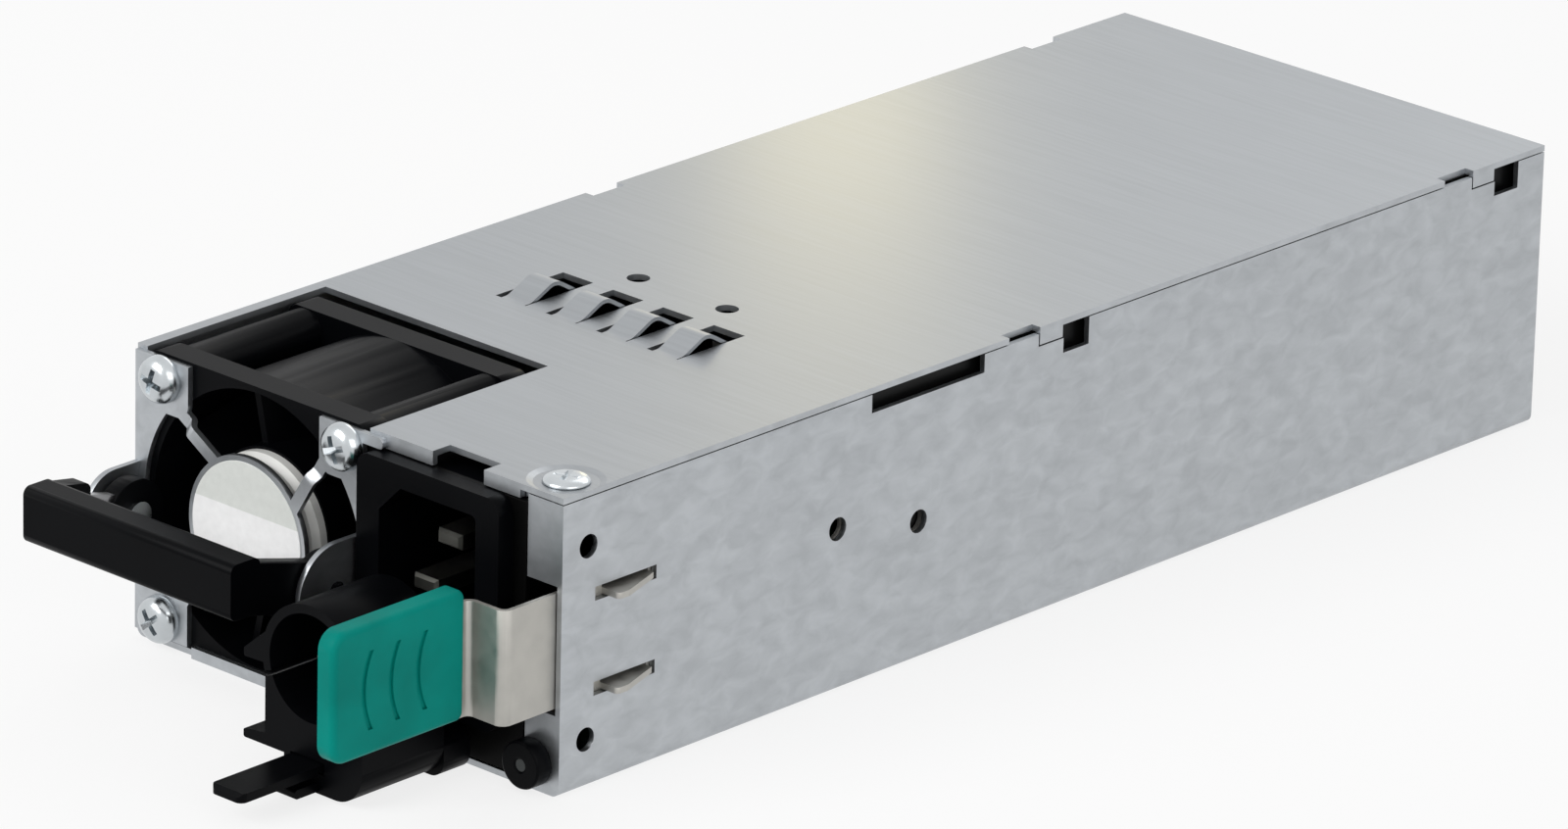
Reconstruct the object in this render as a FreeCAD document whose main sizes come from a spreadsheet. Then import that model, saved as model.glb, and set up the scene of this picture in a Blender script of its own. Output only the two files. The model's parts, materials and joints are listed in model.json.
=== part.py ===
import FreeCAD, Part
import math
import os
import re
import Sketcher

# A hot swap power supply module for a one unit high server bay, in millimetres.
# The origin is the centre of the chassis bottom. +Y points to the card edge at the
# back, +Z up, and the front face with the fan, handle, mains inlet and latch faces -Y.

SIZES = {
    # Sheet steel case
    "width": 73.5, "length": 185.0, "height": 39.0, "steel": 0.8, "seam": 0.15,
    "bend_radius": 1.2, "front_lip_height": 1.5, "front_lip_gap": 0.8, "flange_width": 5.85,
    # Hooks of the cover over the side walls, and the cut-down stretch of the right wall
    "hook_ends": 100.3, "hook_set_back": 85.7, "hook_width": 4.3, "hook_depth": 1.6,
    "hook_gap": 0.2, "hook_opening": 4.8, "hook_opening_depth": 3.8, "hook_notch": 5.8,
    "hook_notch_depth": 1.4, "side_notch_set_back": 54.7, "side_notch_width": 20.7,
    "side_notch_depth": 2.6,
    # Round holes in the right wall
    "side_hole_radius": 1.55, "front_hole_set_back": 4.5, "front_hole_spread": 25.2,
    "front_hole_height": 19.1, "mid_hole_set_back": 49.0, "mid_hole_height": 21.8,
    "mid_hole_pitch": 14.9, "mid_hole_drop": 3.0,
    # Back wall
    "vent_radius": 2.5, "vent_pitch": 5.4, "vent_columns": 11, "vent_rows": 4,
    "vent_height": 17.0, "card_slot_clearance": 1.0,
    # Cover details
    "fan_cut_gap": 0.5, "fan_cut_behind": 3.0, "lip_inset_left": 0.7, "lip_inset_right": 7.25,
    "lip_height": 1.9, "notch_offset": 1.6, "notch_width": 8.7, "notch_depth": 3.0,
    "cover_hole_radius": 1.5, "cover_hole_offset": 5.4, "cover_hole_pitch": 15.4,
    "cover_hole_behind": 61.9,
    # Spring fingers lanced out of the cover
    "finger_count": 4, "finger_pitch": 8.75, "finger_offset": 2.6, "finger_window": 5.3,
    "finger_gap": 1.0, "finger_width": 4.1, "finger_length": 12.2, "finger_front": 44.3,
    "finger_flat": 1.2, "finger_crest": 5.6, "finger_reach": 9.1, "finger_rise": 2.1,
    "finger_bend": 2.4, "finger_steel": 0.5,
    # Cover screw in its dimple
    "screw_inset": 4.35, "screw_set_back": 5.0, "dimple_radius": 4.9, "dimple_depth": 0.3,
    "dimple_floor_radius": 4.1, "screw_radius": 1.5, "screw_head_radius": 3.0,
    "screw_head": 0.9, "screw_length": 4.5, "tab_steel": 0.8, "tab_width": 7.0,
    "tab_length": 8.0,
    # Fan
    "fan_wall_gap": 1.45, "fan_floor_gap": 0.1, "fan_depth": 28.0, "fan_round": 1.5,
    "fan_flange": 4.0, "duct_margin": 0.8, "duct_wall": 0.8, "hole_inset": 3.0,
    "fan_hole_radius": 1.7, "post_wall": 1.2, "hub_radius": 10.3, "hub_wall": 1.2,
    "hub_set_back": 2.4, "hub_length": 22.0, "blade_count": 7, "blade_gap": 0.5,
    "blade_steel": 1.0, "blade_turn": 34.0, "blade_set_back": 1.2, "blade_length": 17.0,
    "shaft_radius": 1.5, "shaft_length": 19.5, "running_gap": 0.03, "tube_radius": 3.6,
    "tube_floor": 1.0, "bearing_radius": 3.0, "bearing_length": 3.0, "bearing_start": 3.4,
    "bearing_pitch": 12.0, "tube_gap": 1.2, "core_radius": 7.6, "core_length": 7.5,
    "core_behind": 3.7, "core_slot": 1.2, "core_start": 4.6, "magnet_steel": 1.0,
    "magnet_behind": 2.2, "magnet_length": 11.0, "motor_base": 2.4,
    "motor_base_radius": 10.8, "strut_width": 2.2, "strut_count": 4, "strut_turn": 20.0,
    # Fan guard and its screws
    "guard_steel": 0.8, "guard_disc_radius": 10.2, "guard_jog": 1.0, "guard_opening": 0.2,
    "guard_lobe": 7.5, "guard_round": 2.0, "guard_corner": 0.6, "guard_margin": 0.4,
    "guard_tab_reach": 3.4, "guard_tab_drop": 1.4, "spoke_width": 1.7, "spoke_skew": 14.0,
    "spoke_start": 2.6, "spoke_overlap": 2.0, "pan_head_radius": 3.15, "pan_head": 2.3,
    "fan_screw_radius": 1.5, "fan_screw_length": 9.0,
    # Handle bail, its ears and its moulded grip
    "ear_steel": 0.8, "ear_radius_left": 5.0, "ear_radius_right": 6.4, "lug_reach": 5.6,
    "lug_depth": 1.2, "lug_height": 0.8, "lug_gap": 0.15, "lug_arm": 2.6,
    "hinge_reach": 4.2, "hinge_height": 18.8, "bail_steel": 1.2, "bail_height": 5.0,
    "bail_eye": 3.4, "boss_radius": 4.6, "boss_width": 2.4, "bail_gap": 0.35,
    "grip_reach": 22.0, "grip_height": 7.4, "grip_depth": 5.0, "grip_middle": 22.7,
    "grip_round": 1.1, "grip_return": 4.2, "return_drop": 1.2, "sleeve_less": 0.6,
    "pin_radius": 1.3, "pin_head_radius": 1.9, "pin_head": 0.7, "pin_gap": 0.05,
    # Front panel
    "panel_fan_gap": 0.4, "panel_gap": 0.25, "panel_top_gap": 0.2, "latch_window_gap": 0.9,
    # Mains inlet
    "bezel_gap": 0.3, "inlet_below_top": 17.3, "bezel_width": 24.2, "bezel_height": 30.4,
    "bezel_depth": 2.5, "bezel_round": 2.0, "socket_width": 16.4, "socket_height": 24.4,
    "socket_depth": 17.0, "socket_chamfer": 3.6, "socket_round": 0.8, "inlet_wall": 2.4,
    "inlet_back": 3.0, "blade_wide": 4.0, "blade_thin": 2.0, "blade_spread": 14.0,
    "earth_offset": 4.0, "blade_inset": 1.7, "blade_taper": 0.5, "blade_tail": 8.0,
    "board_steel": 1.6, "inlet_board_edge": 1.0, "inlet_board_side": 2.0,
    # Status light
    "led_inset": 4.25, "led_z": 3.8, "led_bezel_radius": 3.1, "led_bezel_depth": 2.5,
    "led_barrel_radius": 2.3, "led_barrel": 3.0, "led_radius": 0.8, "led_sink": 0.2,
    "led_length": 6.2,
    # Latch leaf and its pad
    "leaf_steel": 0.6, "leaf_gap": 0.15, "leaf_bottom": 11.5, "leaf_height": 15.0,
    "leaf_root_set_back": 52.5, "leaf_root_length": 18.0, "leaf_reach": 8.9,
    "leaf_bend": 1.1, "root_gap": 0.1, "slot_set_back": 5.8, "slot_length": 10.7,
    "slot_height": 1.8, "slot_under": 0.15, "tooth_low": 0.5, "tooth_pitch": 12.4,
    "tooth_steel": 0.8, "tooth_reach": 2.0, "tooth_start": 2.1, "tooth_crest": 4.0,
    "tooth_end": 10.2, "tooth_round": 0.6, "lance_gap": 1.1, "pad_inset": 5.75,
    "pad_depth": 2.7, "pad_length": 22.4, "pad_height": 17.0, "pad_bottom": 11.6,
    "pad_gap": 10.5, "pad_round": 0.9, "pad_corner": 2.4, "leaf_in_pad": 19.2,
    "groove_radius": 11.0, "groove_width": 0.7, "groove_depth": 0.35, "groove_pitch": 4.6,
    "groove_count": 3, "groove_crown": 1.5,
    # Cord strap and clip
    "strap_offset": 2.1, "strap_width": 5.4, "strap_steel": 1.2, "strap_bottom": 3.2,
    "strap_reach": 34.3, "strap_pitch": 2.0, "strap_tooth": 0.45, "strap_teeth": 8,
    "strap_corner": 1.0, "strap_tip": 0.5, "strap_plain": 13.0, "anchor_width": 9.0, "anchor_height": 4.6,
    "anchor_depth": 1.6, "barb_length": 4.5, "barb_width": 4.2, "barb_lip": 0.5,
    "barb_point": 0.8, "neck_gap": 0.4, "clip_gap": 0.2, "clip_front": 20.5,
    "clip_length": 14.0, "clip_reach_left": 4.4, "clip_reach_right": 9.0,
    "clip_bottom": 0.4, "clip_top": 10.2, "clip_corner": 4.6, "heel_length": 4.6,
    "heel_height": 5.4, "heel_round": 1.2, "ring_offset": 1.7, "ring_z": 16.2,
    "ring_radius": 8.2, "ring_wall": 1.2, "split_gap": 0.35, "split_angle": 200.0,
    "knuckle_angle": 25.0, "knuckle_radius": 1.25, "knuckle_pin": 0.6, "knuckle_gap": 0.3,
    "fin_reach_left": 11.4, "fin_steel": 1.5, "fin_depth": 4.6, "wall_reach": 7.7,
    "jaw_fin_z": 15.4, "base_fin_z": 4.8, "lever_length": 3.8, "lever_width": 3.6,
    "lever_steel": 1.2, "lever_rise": 0.2,
    # Circuit board and card edge
    "board_thick": 1.6, "board_bottom": 5.4, "board_margin": 2.6, "board_fan_gap": 4.5,
    "board_back_gap": 0.6, "card_width": 48.0, "card_reach": 9.0, "card_root": 1.0,
    "contact_count": 18, "contact_width": 1.5, "contact_steel": 0.08,
    "contact_length": 7.0, "contact_inset": 0.6, "sheet_steel": 0.4, "sheet_gap": 0.2,
    "sheet_start": 1.5, "standoff_radius": 2.4, "standoff_inset_x": 4.0,
    "standoff_front": 5.0, "standoff_back": 12.0, "standoff_floor": 1.0,
    "board_screw_radius": 1.3, "board_screw_head": 1.4, "board_screw_head_radius": 2.4,
    "board_screw_grip": 2.0,
    # Parts on the circuit board
    "filter_width": 13.0, "filter_depth": 8.0, "filter_height": 17.0, "filter_gap": 3.0,
    "filter_inset": 8.0, "filter_set_back": 1.0, "choke_radius": 7.5, "choke_wire": 4.0,
    "choke_pitch": 22.5, "choke_gap": 2.0, "bulk_radius": 9.0, "bulk_headroom": 9.5,
    "bulk_pitch": 19.0, "bulk_set_back": 86.5, "bulk_inset": 3.0, "sink_ends": 127.0,
    "sink_base": 2.0, "sink_headroom": 13.0, "fin_count": 7, "fin_reach": 7.0,
    "sink_fin": 1.2, "sink_set_back": 64.5, "sink_inset": 12.25, "sink_pitch": 24.0,
    "device_width": 10.0, "device_height": 15.0, "device_depth": 4.4, "device_count": 4,
    "device_ends": 3.0, "device_start": 2.0, "device_lift": 4.0, "core_x": -4.0,
    "core_side": 26.0, "core_depth": 22.0, "core_headroom": 12.0, "core_leg": 6.0,
    "core_post_radius": 4.2, "core_set_back": 46.5, "winding_gap": 0.3,
    "winding_round": 6.0, "winding_play": 0.05, "output_radius": 4.0,
    "output_height": 18.0, "output_pitch": 9.0, "output_count": 6,
    "output_set_back": 12.5, "daughter_ends": 145.0, "daughter_height": 22.0,
    "daughter_set_back": 24.5, "daughter_inset": 5.75, "daughter_steel": 1.2,
    "fuse_radius": 3.0, "fuse_length": 20.0, "fuse_gap": 3.3,
}

V = FreeCAD.Vector
doc = FreeCAD.newDocument("server_power_supply")
sheet = doc.addObject("Spreadsheet::Sheet", "Sizes")
for row, (alias, value) in enumerate(SIZES.items(), 1):
    sheet.set("A%d" % row, alias)
    sheet.set("B%d" % row, str(value))
    sheet.setAlias("B%d" % row, alias)
doc.recompute()

nodes = {}
word = re.compile(r"[a-z_][a-z0-9_]*")

# Places and lengths that follow from the sizes, written with the sheet's names.
PLACES = {
    "half": "(width/2)",
    "front": "(-length/2)",
    "back": "(length/2)",
    "cover_bottom": "(height-steel)",
    "wall_top": "(height-steel-seam)",
    "flange_left": "(half-flange_width)",
    "hook_pitch": "(length-hook_ends)",
    "hook_at": "(front+hook_set_back)",
    "side_notch_at": "(front+side_notch_set_back)",
    "mid_hole_at": "(front+mid_hole_set_back)",
    "lip_left": "(panel_left+lip_inset_left)",
    "lip_right": "(half-lip_inset_right)",
    "notch_left": "(inlet_x-notch_offset)",
    "finger_left": "(fan_x-finger_offset)",
    "cover_hole_left": "(fan_x+cover_hole_offset)",
    "screw_x": "(half-screw_inset)",
    "fan_side": "(height-steel-2*fan_floor_gap)",
    "fan_front": "front",
    "fan_x": "(-half+steel+fan_wall_gap+fan_side/2)",
    "fan_z": "(steel+fan_floor_gap+fan_side/2)",
    "duct_radius": "(fan_side/2-duct_margin)",
    "hole_pitch": "(fan_side-2*hole_inset)",
    "guard_hole_radius": "(fan_side/2+guard_opening)",
    "hinge_y": "(front-guard_steel-hinge_reach)",
    "bail_left": "(fan_x-fan_side/2+bail_gap)",
    "bail_right": "(fan_x+fan_side/2-ear_steel-bail_gap)",
    "panel_left": "(fan_x+fan_side/2+panel_fan_gap)",
    "inlet_x": "(panel_left+bezel_gap+bezel_width/2)",
    "inlet_z": "(height-inlet_below_top)",
    "led_x": "(half-led_inset)",
    "leaf_x": "(half-steel-leaf_gap-leaf_steel)",
    "leaf_root_at": "(front+leaf_root_set_back)",
    "pad_outer_x": "(half-pad_inset)",
    "pad_back": "(front-pad_gap)",
    "strap_x": "(inlet_x-strap_offset)",
    "ring_x": "(inlet_x-ring_offset)",
    "clip_left": "(ring_x-clip_reach_left)",
    "clip_right": "(ring_x+clip_reach_right)",
    "clip_y": "(front-clip_front)",
    "fin_tip_x": "(ring_x-fin_reach_left)",
    "board_front": "(front+fan_depth+board_fan_gap)",
    "board_top": "(board_bottom+board_thick)",
    "bulk_height": "(height-bulk_headroom)",
    "bulk_at": "(front+bulk_set_back)",
    "sink_length": "(length-sink_ends)",
    "sink_height": "(height-sink_headroom)",
    "sink_front": "(front+sink_set_back)",
    "sink_x": "(half-sink_inset)",
    "device_pitch": "((sink_length-2*device_ends)/device_count)",
    "core_height": "(height-core_headroom)",
    "core_at": "(back-core_set_back)",
    "output_at": "(back-output_set_back)",
    "daughter_length": "(length-daughter_ends)",
    "daughter_at": "(back-daughter_set_back-daughter_length)",
    "daughter_x": "(-half+daughter_inset)",
}


def expression(text):
    """A size in the sheet's words, as an expression that FreeCAD can follow."""
    text = str(text)
    while any(name in PLACES for name in word.findall(text)):
        text = word.sub(lambda m: PLACES.get(m.group(), m.group()), text)
    return word.sub(lambda m: "Sizes." + m.group() if m.group() in SIZES else m.group(), text)


def size(text):
    """The same size as a number."""
    return float(sheet.evalExpression(expression(text)))


def bind(obj, **properties):
    for name, text in properties.items():
        obj.setExpression(name.replace("__", "."), expression(text))
    return obj


def place(obj, x, y, z):
    return bind(obj, Placement__Base__x=x, Placement__Base__y=y, Placement__Base__z=z)


def keep(name, obj):
    """Label the finished piece with its node's name."""
    obj.Label = name
    nodes[name] = obj
    return obj


def box(name, x, y, z, dx, dy, dz):
    """A block from its lowest corner and its three sides."""
    block = doc.addObject("Part::Box", name)
    bind(block, Length=dx, Width=dy, Height=dz)
    return place(block, x, y, z)


TURNS = {
    "x": FreeCAD.Rotation(V(0, 1, 0), 90),
    "y": FreeCAD.Rotation(V(1, 0, 0), -90),
    "z": FreeCAD.Rotation(),
}


def rod(name, axis, x, y, z, radius, long):
    """A round bar that starts at a point and runs up one axis."""
    bar = doc.addObject("Part::Cylinder", name)
    bar.Placement = FreeCAD.Placement(V(), TURNS[axis])
    bind(bar, Radius=radius, Height=long)
    return place(bar, x, y, z)


def cone(name, x, y, z, low_radius, high_radius, tall):
    taper = doc.addObject("Part::Cone", name)
    bind(taper, Radius1=low_radius, Radius2=high_radius, Height=tall)
    return place(taper, x, y, z)


def hexagon(name, turn, x, y, z, radius, long):
    """A six-sided bar, given like a rod, its radius measured over the corners."""
    bar = doc.addObject("Part::Prism", name)
    bar.Polygon = 6
    bar.Placement = FreeCAD.Placement(V(), TURNS[turn])
    bind(bar, Circumradius=radius, Height=long)
    return place(bar, x, y, z)


def fuse(name, pieces):
    union = doc.addObject("Part::MultiFuse", name)
    union.Shapes = pieces
    return union


def cut(name, base, tools):
    difference = doc.addObject("Part::Cut", name)
    difference.Base = base
    difference.Tool = tools[0] if len(tools) == 1 else fuse(name + "_tools", tools)
    return difference


def shaped(name, shape):
    """A piece whose form is worked out from the sheet's sizes."""
    feature = doc.addObject("Part::Feature", name)
    feature.Shape = shape
    return feature


def group(name, pieces):
    """Identical loose pieces kept as one node."""
    compound = doc.addObject("Part::Compound", name)
    compound.Links = pieces
    return keep(name, compound)


PLANES = {"top": "XY_Plane", "front": "XZ_Plane", "side": "YZ_Plane"}


def sketch(body, name, plane, at):
    """An empty sketch parallel to one of the body's own origin planes."""
    drawing = body.newObject("Sketcher::SketchObject", name)
    role = PLANES[plane]
    origin = [f for f in body.Origin.OriginFeatures if f.Role == role][0]
    drawing.AttachmentSupport = [(origin, "")]
    drawing.MapMode = "FlatFace"
    sign = "-" if plane == "front" else ""
    return bind(drawing, AttachmentOffset__Base__z="%s(%s)" % (sign, at))


def rectangle(drawing, left, low, wide, tall):
    """A rectangle with its place and both sides bound."""
    first = drawing.GeometryCount
    x, y, dx, dy = (size(t) for t in (left, low, wide, tall))
    corners = [V(x, y, 0), V(x + dx, y, 0), V(x + dx, y + dy, 0), V(x, y + dy, 0)]
    for i in range(4):
        drawing.addGeometry(Part.LineSegment(corners[i], corners[(i + 1) % 4]), False)
    for i in range(4):
        drawing.addConstraint(
            Sketcher.Constraint("Coincident", first + i, 2, first + (i + 1) % 4, 1))
        drawing.addConstraint(
            Sketcher.Constraint("Vertical" if i % 2 else "Horizontal", first + i))
    rules = [("DistanceX", (-1, 1, first, 1), x, left), ("DistanceY", (-1, 1, first, 1), y, low),
             ("DistanceX", (first, 1, first, 2), dx, wide),
             ("DistanceY", (first + 1, 1, first + 1, 2), dy, tall)]
    for kind, ends, number, text in rules:
        held = drawing.addConstraint(Sketcher.Constraint(kind, *ends, number))
        drawing.setExpression("Constraints[%d]" % held, expression(text))


def circle(drawing, x, y, radius):
    """A circle with its centre and radius bound."""
    first = drawing.GeometryCount
    centre = V(size(x), size(y), 0)
    drawing.addGeometry(Part.Circle(centre, V(0, 0, 1), size(radius)), False)
    rules = [("DistanceX", (-1, 1, first, 3), centre.x, x),
             ("DistanceY", (-1, 1, first, 3), centre.y, y), ("Radius", (first,), size(radius), radius)]
    for kind, ends, number, text in rules:
        held = drawing.addConstraint(Sketcher.Constraint(kind, *ends, number))
        drawing.setExpression("Constraints[%d]" % held, expression(text))


def pad(body, name, drawing, long, reverse=False):
    feature = body.newObject("PartDesign::Pad", name)
    feature.Profile = drawing
    feature.Reversed = reverse
    return bind(feature, Length=long)


def pocket(body, name, drawing, deep, reverse=False):
    feature = body.newObject("PartDesign::Pocket", name)
    feature.Profile = drawing
    feature.Reversed = reverse
    return bind(feature, Length=deep)


def rounded(body, name, feature, radius, wanted):
    """Fillet the edges of a feature that a test on an edge picks out."""
    doc.recompute()
    picked = ["Edge%d" % (i + 1) for i, e in enumerate(feature.Shape.Edges) if wanted(e)]
    fillet = body.newObject("PartDesign::Fillet", name)
    fillet.Base = (feature, picked)
    return bind(fillet, Radius=radius)


def along(edge, axis):
    """Whether an edge is straight and runs along an axis, given as 0, 1 or 2."""
    if len(edge.Vertexes) < 2 or not isinstance(edge.Curve, Part.Line):
        return False
    step = edge.Vertexes[1].Point - edge.Vertexes[0].Point
    return abs(abs(step[axis]) - step.Length) < 1e-6


def middle(edge):
    return edge.CenterOfMass


def outline(points, radii):
    """A closed wire through points, each corner rounded by its own radius."""
    edges, stops, count = [], [], len(points)
    for i in range(count):
        before, here, after = points[i - 1], points[i], points[(i + 1) % count]
        inward, onward = (before - here).normalize(), (after - here).normalize()
        half_angle = inward.getAngle(onward) / 2
        back_off = radii[i] / math.tan(half_angle) if radii[i] else 0
        middle_way = (inward + onward).normalize()
        bulge = radii[i] / math.sin(half_angle) - radii[i] if radii[i] else 0
        stops.append((here + inward * back_off, here + middle_way * bulge, here + onward * back_off))
    for i in range(count):
        enter, crown, leave = stops[i]
        if radii[i]:
            edges.append(Part.Arc(enter, crown, leave).toShape())
        target = stops[(i + 1) % count][0]
        if (target - leave).Length > 1e-6:
            edges.append(Part.LineSegment(leave, target).toShape())
    return Part.Wire(edges)


def prism(points, radii, travel):
    """A solid with a rounded outline, extruded along a vector."""
    return Part.Face(outline(points, radii)).extrude(travel)


def ribbon(path, bend, thick, travel):
    """A bent strip: a flat path with rounded bends, given thickness and width."""
    normal = V(travel).normalize()
    sides = []
    for sign in (1, -1):
        shifted = []
        for i, point in enumerate(path):
            steps = []
            if i > 0:
                steps.append((point - path[i - 1]).normalize())
            if i < len(path) - 1:
                steps.append((path[i + 1] - point).normalize())
            across = [normal.cross(step) for step in steps]
            mean = across[0] if len(across) == 1 else (across[0] + across[1]).normalize()
            reach = thick / 2 / mean.dot(across[0])
            shifted.append(point + mean * sign * reach)
        sides.append(shifted)
    radii = []
    for sign in (1, -1):
        row = [0]
        for i in range(1, len(path) - 1):
            turn = (path[i] - path[i - 1]).cross(path[i + 1] - path[i]).dot(normal)
            row.append(bend - sign * math.copysign(thick / 2, turn))
        radii.append(row + [0])
    return prism(sides[0] + sides[1][::-1], radii[0] + radii[1][::-1], travel)


def base_tray():
    """Floor, both side walls and back wall, folded from one sheet of galvanised steel."""
    body = doc.addObject("PartDesign::Body", "tray_body")
    drawing = sketch(body, "tray_profile", "front", "back")
    rectangle(drawing, "-half", "0", "width", "wall_top")
    block = pad(body, "tray_block", drawing, "length")
    rounded(body, "tray_bends", block, "bend_radius", lambda e: (
        along(e, 1) and abs(middle(e).z) < 1e-6))
    drawing = sketch(body, "tray_inside", "front", "front")
    rectangle(drawing, "-half+steel", "steel", "width-2*steel", "height")
    pocket(body, "tray_hollow", drawing, "length-steel")

    drawing = sketch(body, "card_slot_profile", "front", "back-2*steel")
    rectangle(drawing, "-card_width/2-card_slot_clearance", "board_bottom-card_slot_clearance",
              "card_width+2*card_slot_clearance", "board_thick+2*card_slot_clearance")
    pocket(body, "card_slot", drawing, "3*steel")

    drawing = sketch(body, "side_openings", "side", "half")
    for tooth in range(2):
        rectangle(drawing, "front+slot_set_back",
                  "leaf_bottom+tooth_low-slot_under+%d*tooth_pitch" % tooth,
                  "slot_length", "slot_height")
    for side in (-1, 1):
        circle(drawing, "front+front_hole_set_back",
               "front_hole_height+%d*front_hole_spread/2" % side, "side_hole_radius")
    for turn in range(2):
        circle(drawing, "mid_hole_at+%d*mid_hole_pitch" % turn,
               "mid_hole_height-%d*mid_hole_drop" % turn, "side_hole_radius")
    rectangle(drawing, "side_notch_at", "wall_top-side_notch_depth+seam", "side_notch_width", "height")
    pocket(body, "side_cuts", drawing, "2*steel")

    drawing = sketch(body, "hook_openings", "side", "half")
    for hook in range(2):
        rectangle(drawing, "hook_at-hook_gap+%d*hook_pitch" % hook,
                  "cover_bottom-hook_depth-hook_gap", "hook_width+2*hook_gap", "height")
        rectangle(drawing, "hook_at+hook_width+hook_gap+%d*hook_pitch" % hook,
                  "cover_bottom-hook_opening_depth", "hook_opening", "height")
    pocket(body, "hook_cuts", drawing, "width+steel")

    drawing = sketch(body, "screw_tab_plan", "top", "cover_bottom-dimple_depth-tab_steel")
    rectangle(drawing, "half-steel-tab_width", "front+screw_set_back-tab_length/2",
              "tab_width+steel/2", "tab_length")
    pad(body, "screw_tab", drawing, "tab_steel")
    drawing = sketch(body, "screw_tab_bore", "top", "cover_bottom-dimple_depth")
    circle(drawing, "screw_x", "front+screw_set_back", "screw_radius")
    pocket(body, "screw_tab_hole", drawing, "2*tab_steel")

    drawing = sketch(body, "front_lip_profile", "front", "front")
    rectangle(drawing, "fan_x-fan_side/2+guard_lobe+front_lip_gap", "0",
              "fan_side-2*guard_lobe-2*front_lip_gap", "front_lip_height")
    pad(body, "front_lip", drawing, "guard_steel")

    drawing = sketch(body, "front_flange_profile", "front", "front+steel")
    rectangle(drawing, "flange_left", "steel/2", "flange_width-steel/2",
              "leaf_bottom-latch_window_gap-steel/2")
    rectangle(drawing, "flange_left", "leaf_bottom+leaf_height+latch_window_gap",
              "flange_width-steel/2", "wall_top-leaf_bottom-leaf_height-latch_window_gap")
    pad(body, "front_flange", drawing, "steel")
    drawing = sketch(body, "light_bore", "front", "front-steel")
    circle(drawing, "led_x", "led_z", "led_barrel_radius")
    pocket(body, "light_hole", drawing, "3*steel")
    return keep("base_tray", cut("tray_finished", body, back_vents()))


def back_vents():
    """Cutters for the back wall's air holes: a honeycomb in staggered rows."""
    cutters = []
    for row in range(int(size("vent_rows"))):
        for column in range(int(size("vent_columns")) - row % 2):
            cutters.append(hexagon("vent", "y", "(%d-(vent_columns-1)/2+%d/2)*vent_pitch"
                                   % (column, row % 2), "back-2*steel",
                                   "vent_height+%d*vent_pitch*cos(30)" % row, "vent_radius",
                                   "3*steel"))
    return cutters


def cover_fingers():
    """Spring fingers: a root at the front, a straight ramp, a round crest and a free tip."""
    thick = size("finger_steel")
    root, level = size("front+finger_front"), size("height") - thick / 2
    fingers = []
    for i in range(int(size("finger_count"))):
        x = size("finger_left+finger_gap") + i * size("finger_pitch")
        path = [V(x, root - thick, level), V(x, root + size("finger_flat"), level),
                V(x, root + size("finger_crest"), level + size("finger_rise")),
                V(x, root + size("finger_reach"), level)]
        fingers.append(ribbon(path, size("finger_bend"), thick, V(size("finger_width"), 0, 0)))
    return shaped("cover_fingers", Part.makeCompound(fingers))


def top_cover():
    """Flat lid with side hooks, a front lip, a fan cut-out and four lanced spring fingers."""
    body = doc.addObject("PartDesign::Body", "cover_body")
    drawing = sketch(body, "cover_plan", "top", "cover_bottom")
    rectangle(drawing, "-half", "front", "width", "length")
    pad(body, "cover_plate", drawing, "steel")
    drawing = sketch(body, "lip_profile", "front", "front+steel")
    rectangle(drawing, "lip_left", "height-lip_height", "lip_right-lip_left", "lip_height")
    pad(body, "front_lip_pad", drawing, "steel")
    for side in (-1, 1):
        left = "half-steel" if side > 0 else "-half"
        for hook in range(2):
            drawing = sketch(body, "hook_plan", "top", "cover_bottom-hook_depth")
            rectangle(drawing, left, "hook_at+%d*hook_pitch" % hook, "steel", "hook_width")
            pad(body, "hook", drawing, "hook_depth+steel/2")
    drawing = sketch(body, "cover_openings", "top", "height")
    rectangle(drawing, "fan_x-fan_side/2-fan_cut_gap", "front-steel", "fan_side+2*fan_cut_gap",
              "steel+fan_depth+fan_cut_behind")
    rectangle(drawing, "notch_left", "front-steel", "notch_width", "notch_depth+steel")
    for i in range(int(size("finger_count"))):
        rectangle(drawing, "finger_left+%d*finger_pitch" % i, "front+finger_front",
                  "finger_window", "finger_length")
    for i in range(2):
        circle(drawing, "cover_hole_left+%d*cover_hole_pitch" % i, "front+cover_hole_behind",
               "cover_hole_radius")
    for side in (-1, 1):
        left = "half-hook_notch_depth" if side > 0 else "-half-steel"
        for hook in range(2):
            rectangle(drawing, left, "hook_at-hook_notch+%d*hook_pitch" % hook,
                      "hook_notch_depth+steel", "hook_notch")
    pocket(body, "cover_cuts", drawing, "lip_height+hook_depth")
    dimple = cone("dimple", "screw_x", "front+screw_set_back", "height-dimple_depth",
                  "dimple_floor_radius", "dimple_radius", "dimple_depth")
    hole = rod("cover_screw_hole", "z", "screw_x", "front+screw_set_back", "height-2*steel",
               "screw_radius+running_gap", "3*steel")
    boss = rod("dimple_back", "z", "screw_x", "front+screw_set_back", "cover_bottom-dimple_depth",
               "screw_head_radius", "dimple_depth")
    plate = fuse("cover_with_fingers", [body, cover_fingers(), boss])
    return keep("top_cover", cut("cover_finished", plate, [dimple, hole]))


def screw(at, head_radius, head, shank_radius, shank):
    """A pan head screw that points up, with its head's underside at the given point."""
    levels = [(0, 1), (0.4, 1), (0.75, 0.82), (1, 0.5)]
    points = [V(0, 0, 0)] + [V(head_radius * r, 0, head * z) for z, r in levels]
    points += [V(0, 0, head), V(0, 0, 0)]
    solid = Part.Face(Part.makePolygon(points)).revolve(V(), V(0, 0, 1), 360)
    solid = solid.fuse(Part.makeCylinder(shank_radius, shank, V(0, 0, -shank)))
    solid.translate(at)
    return solid


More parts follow.
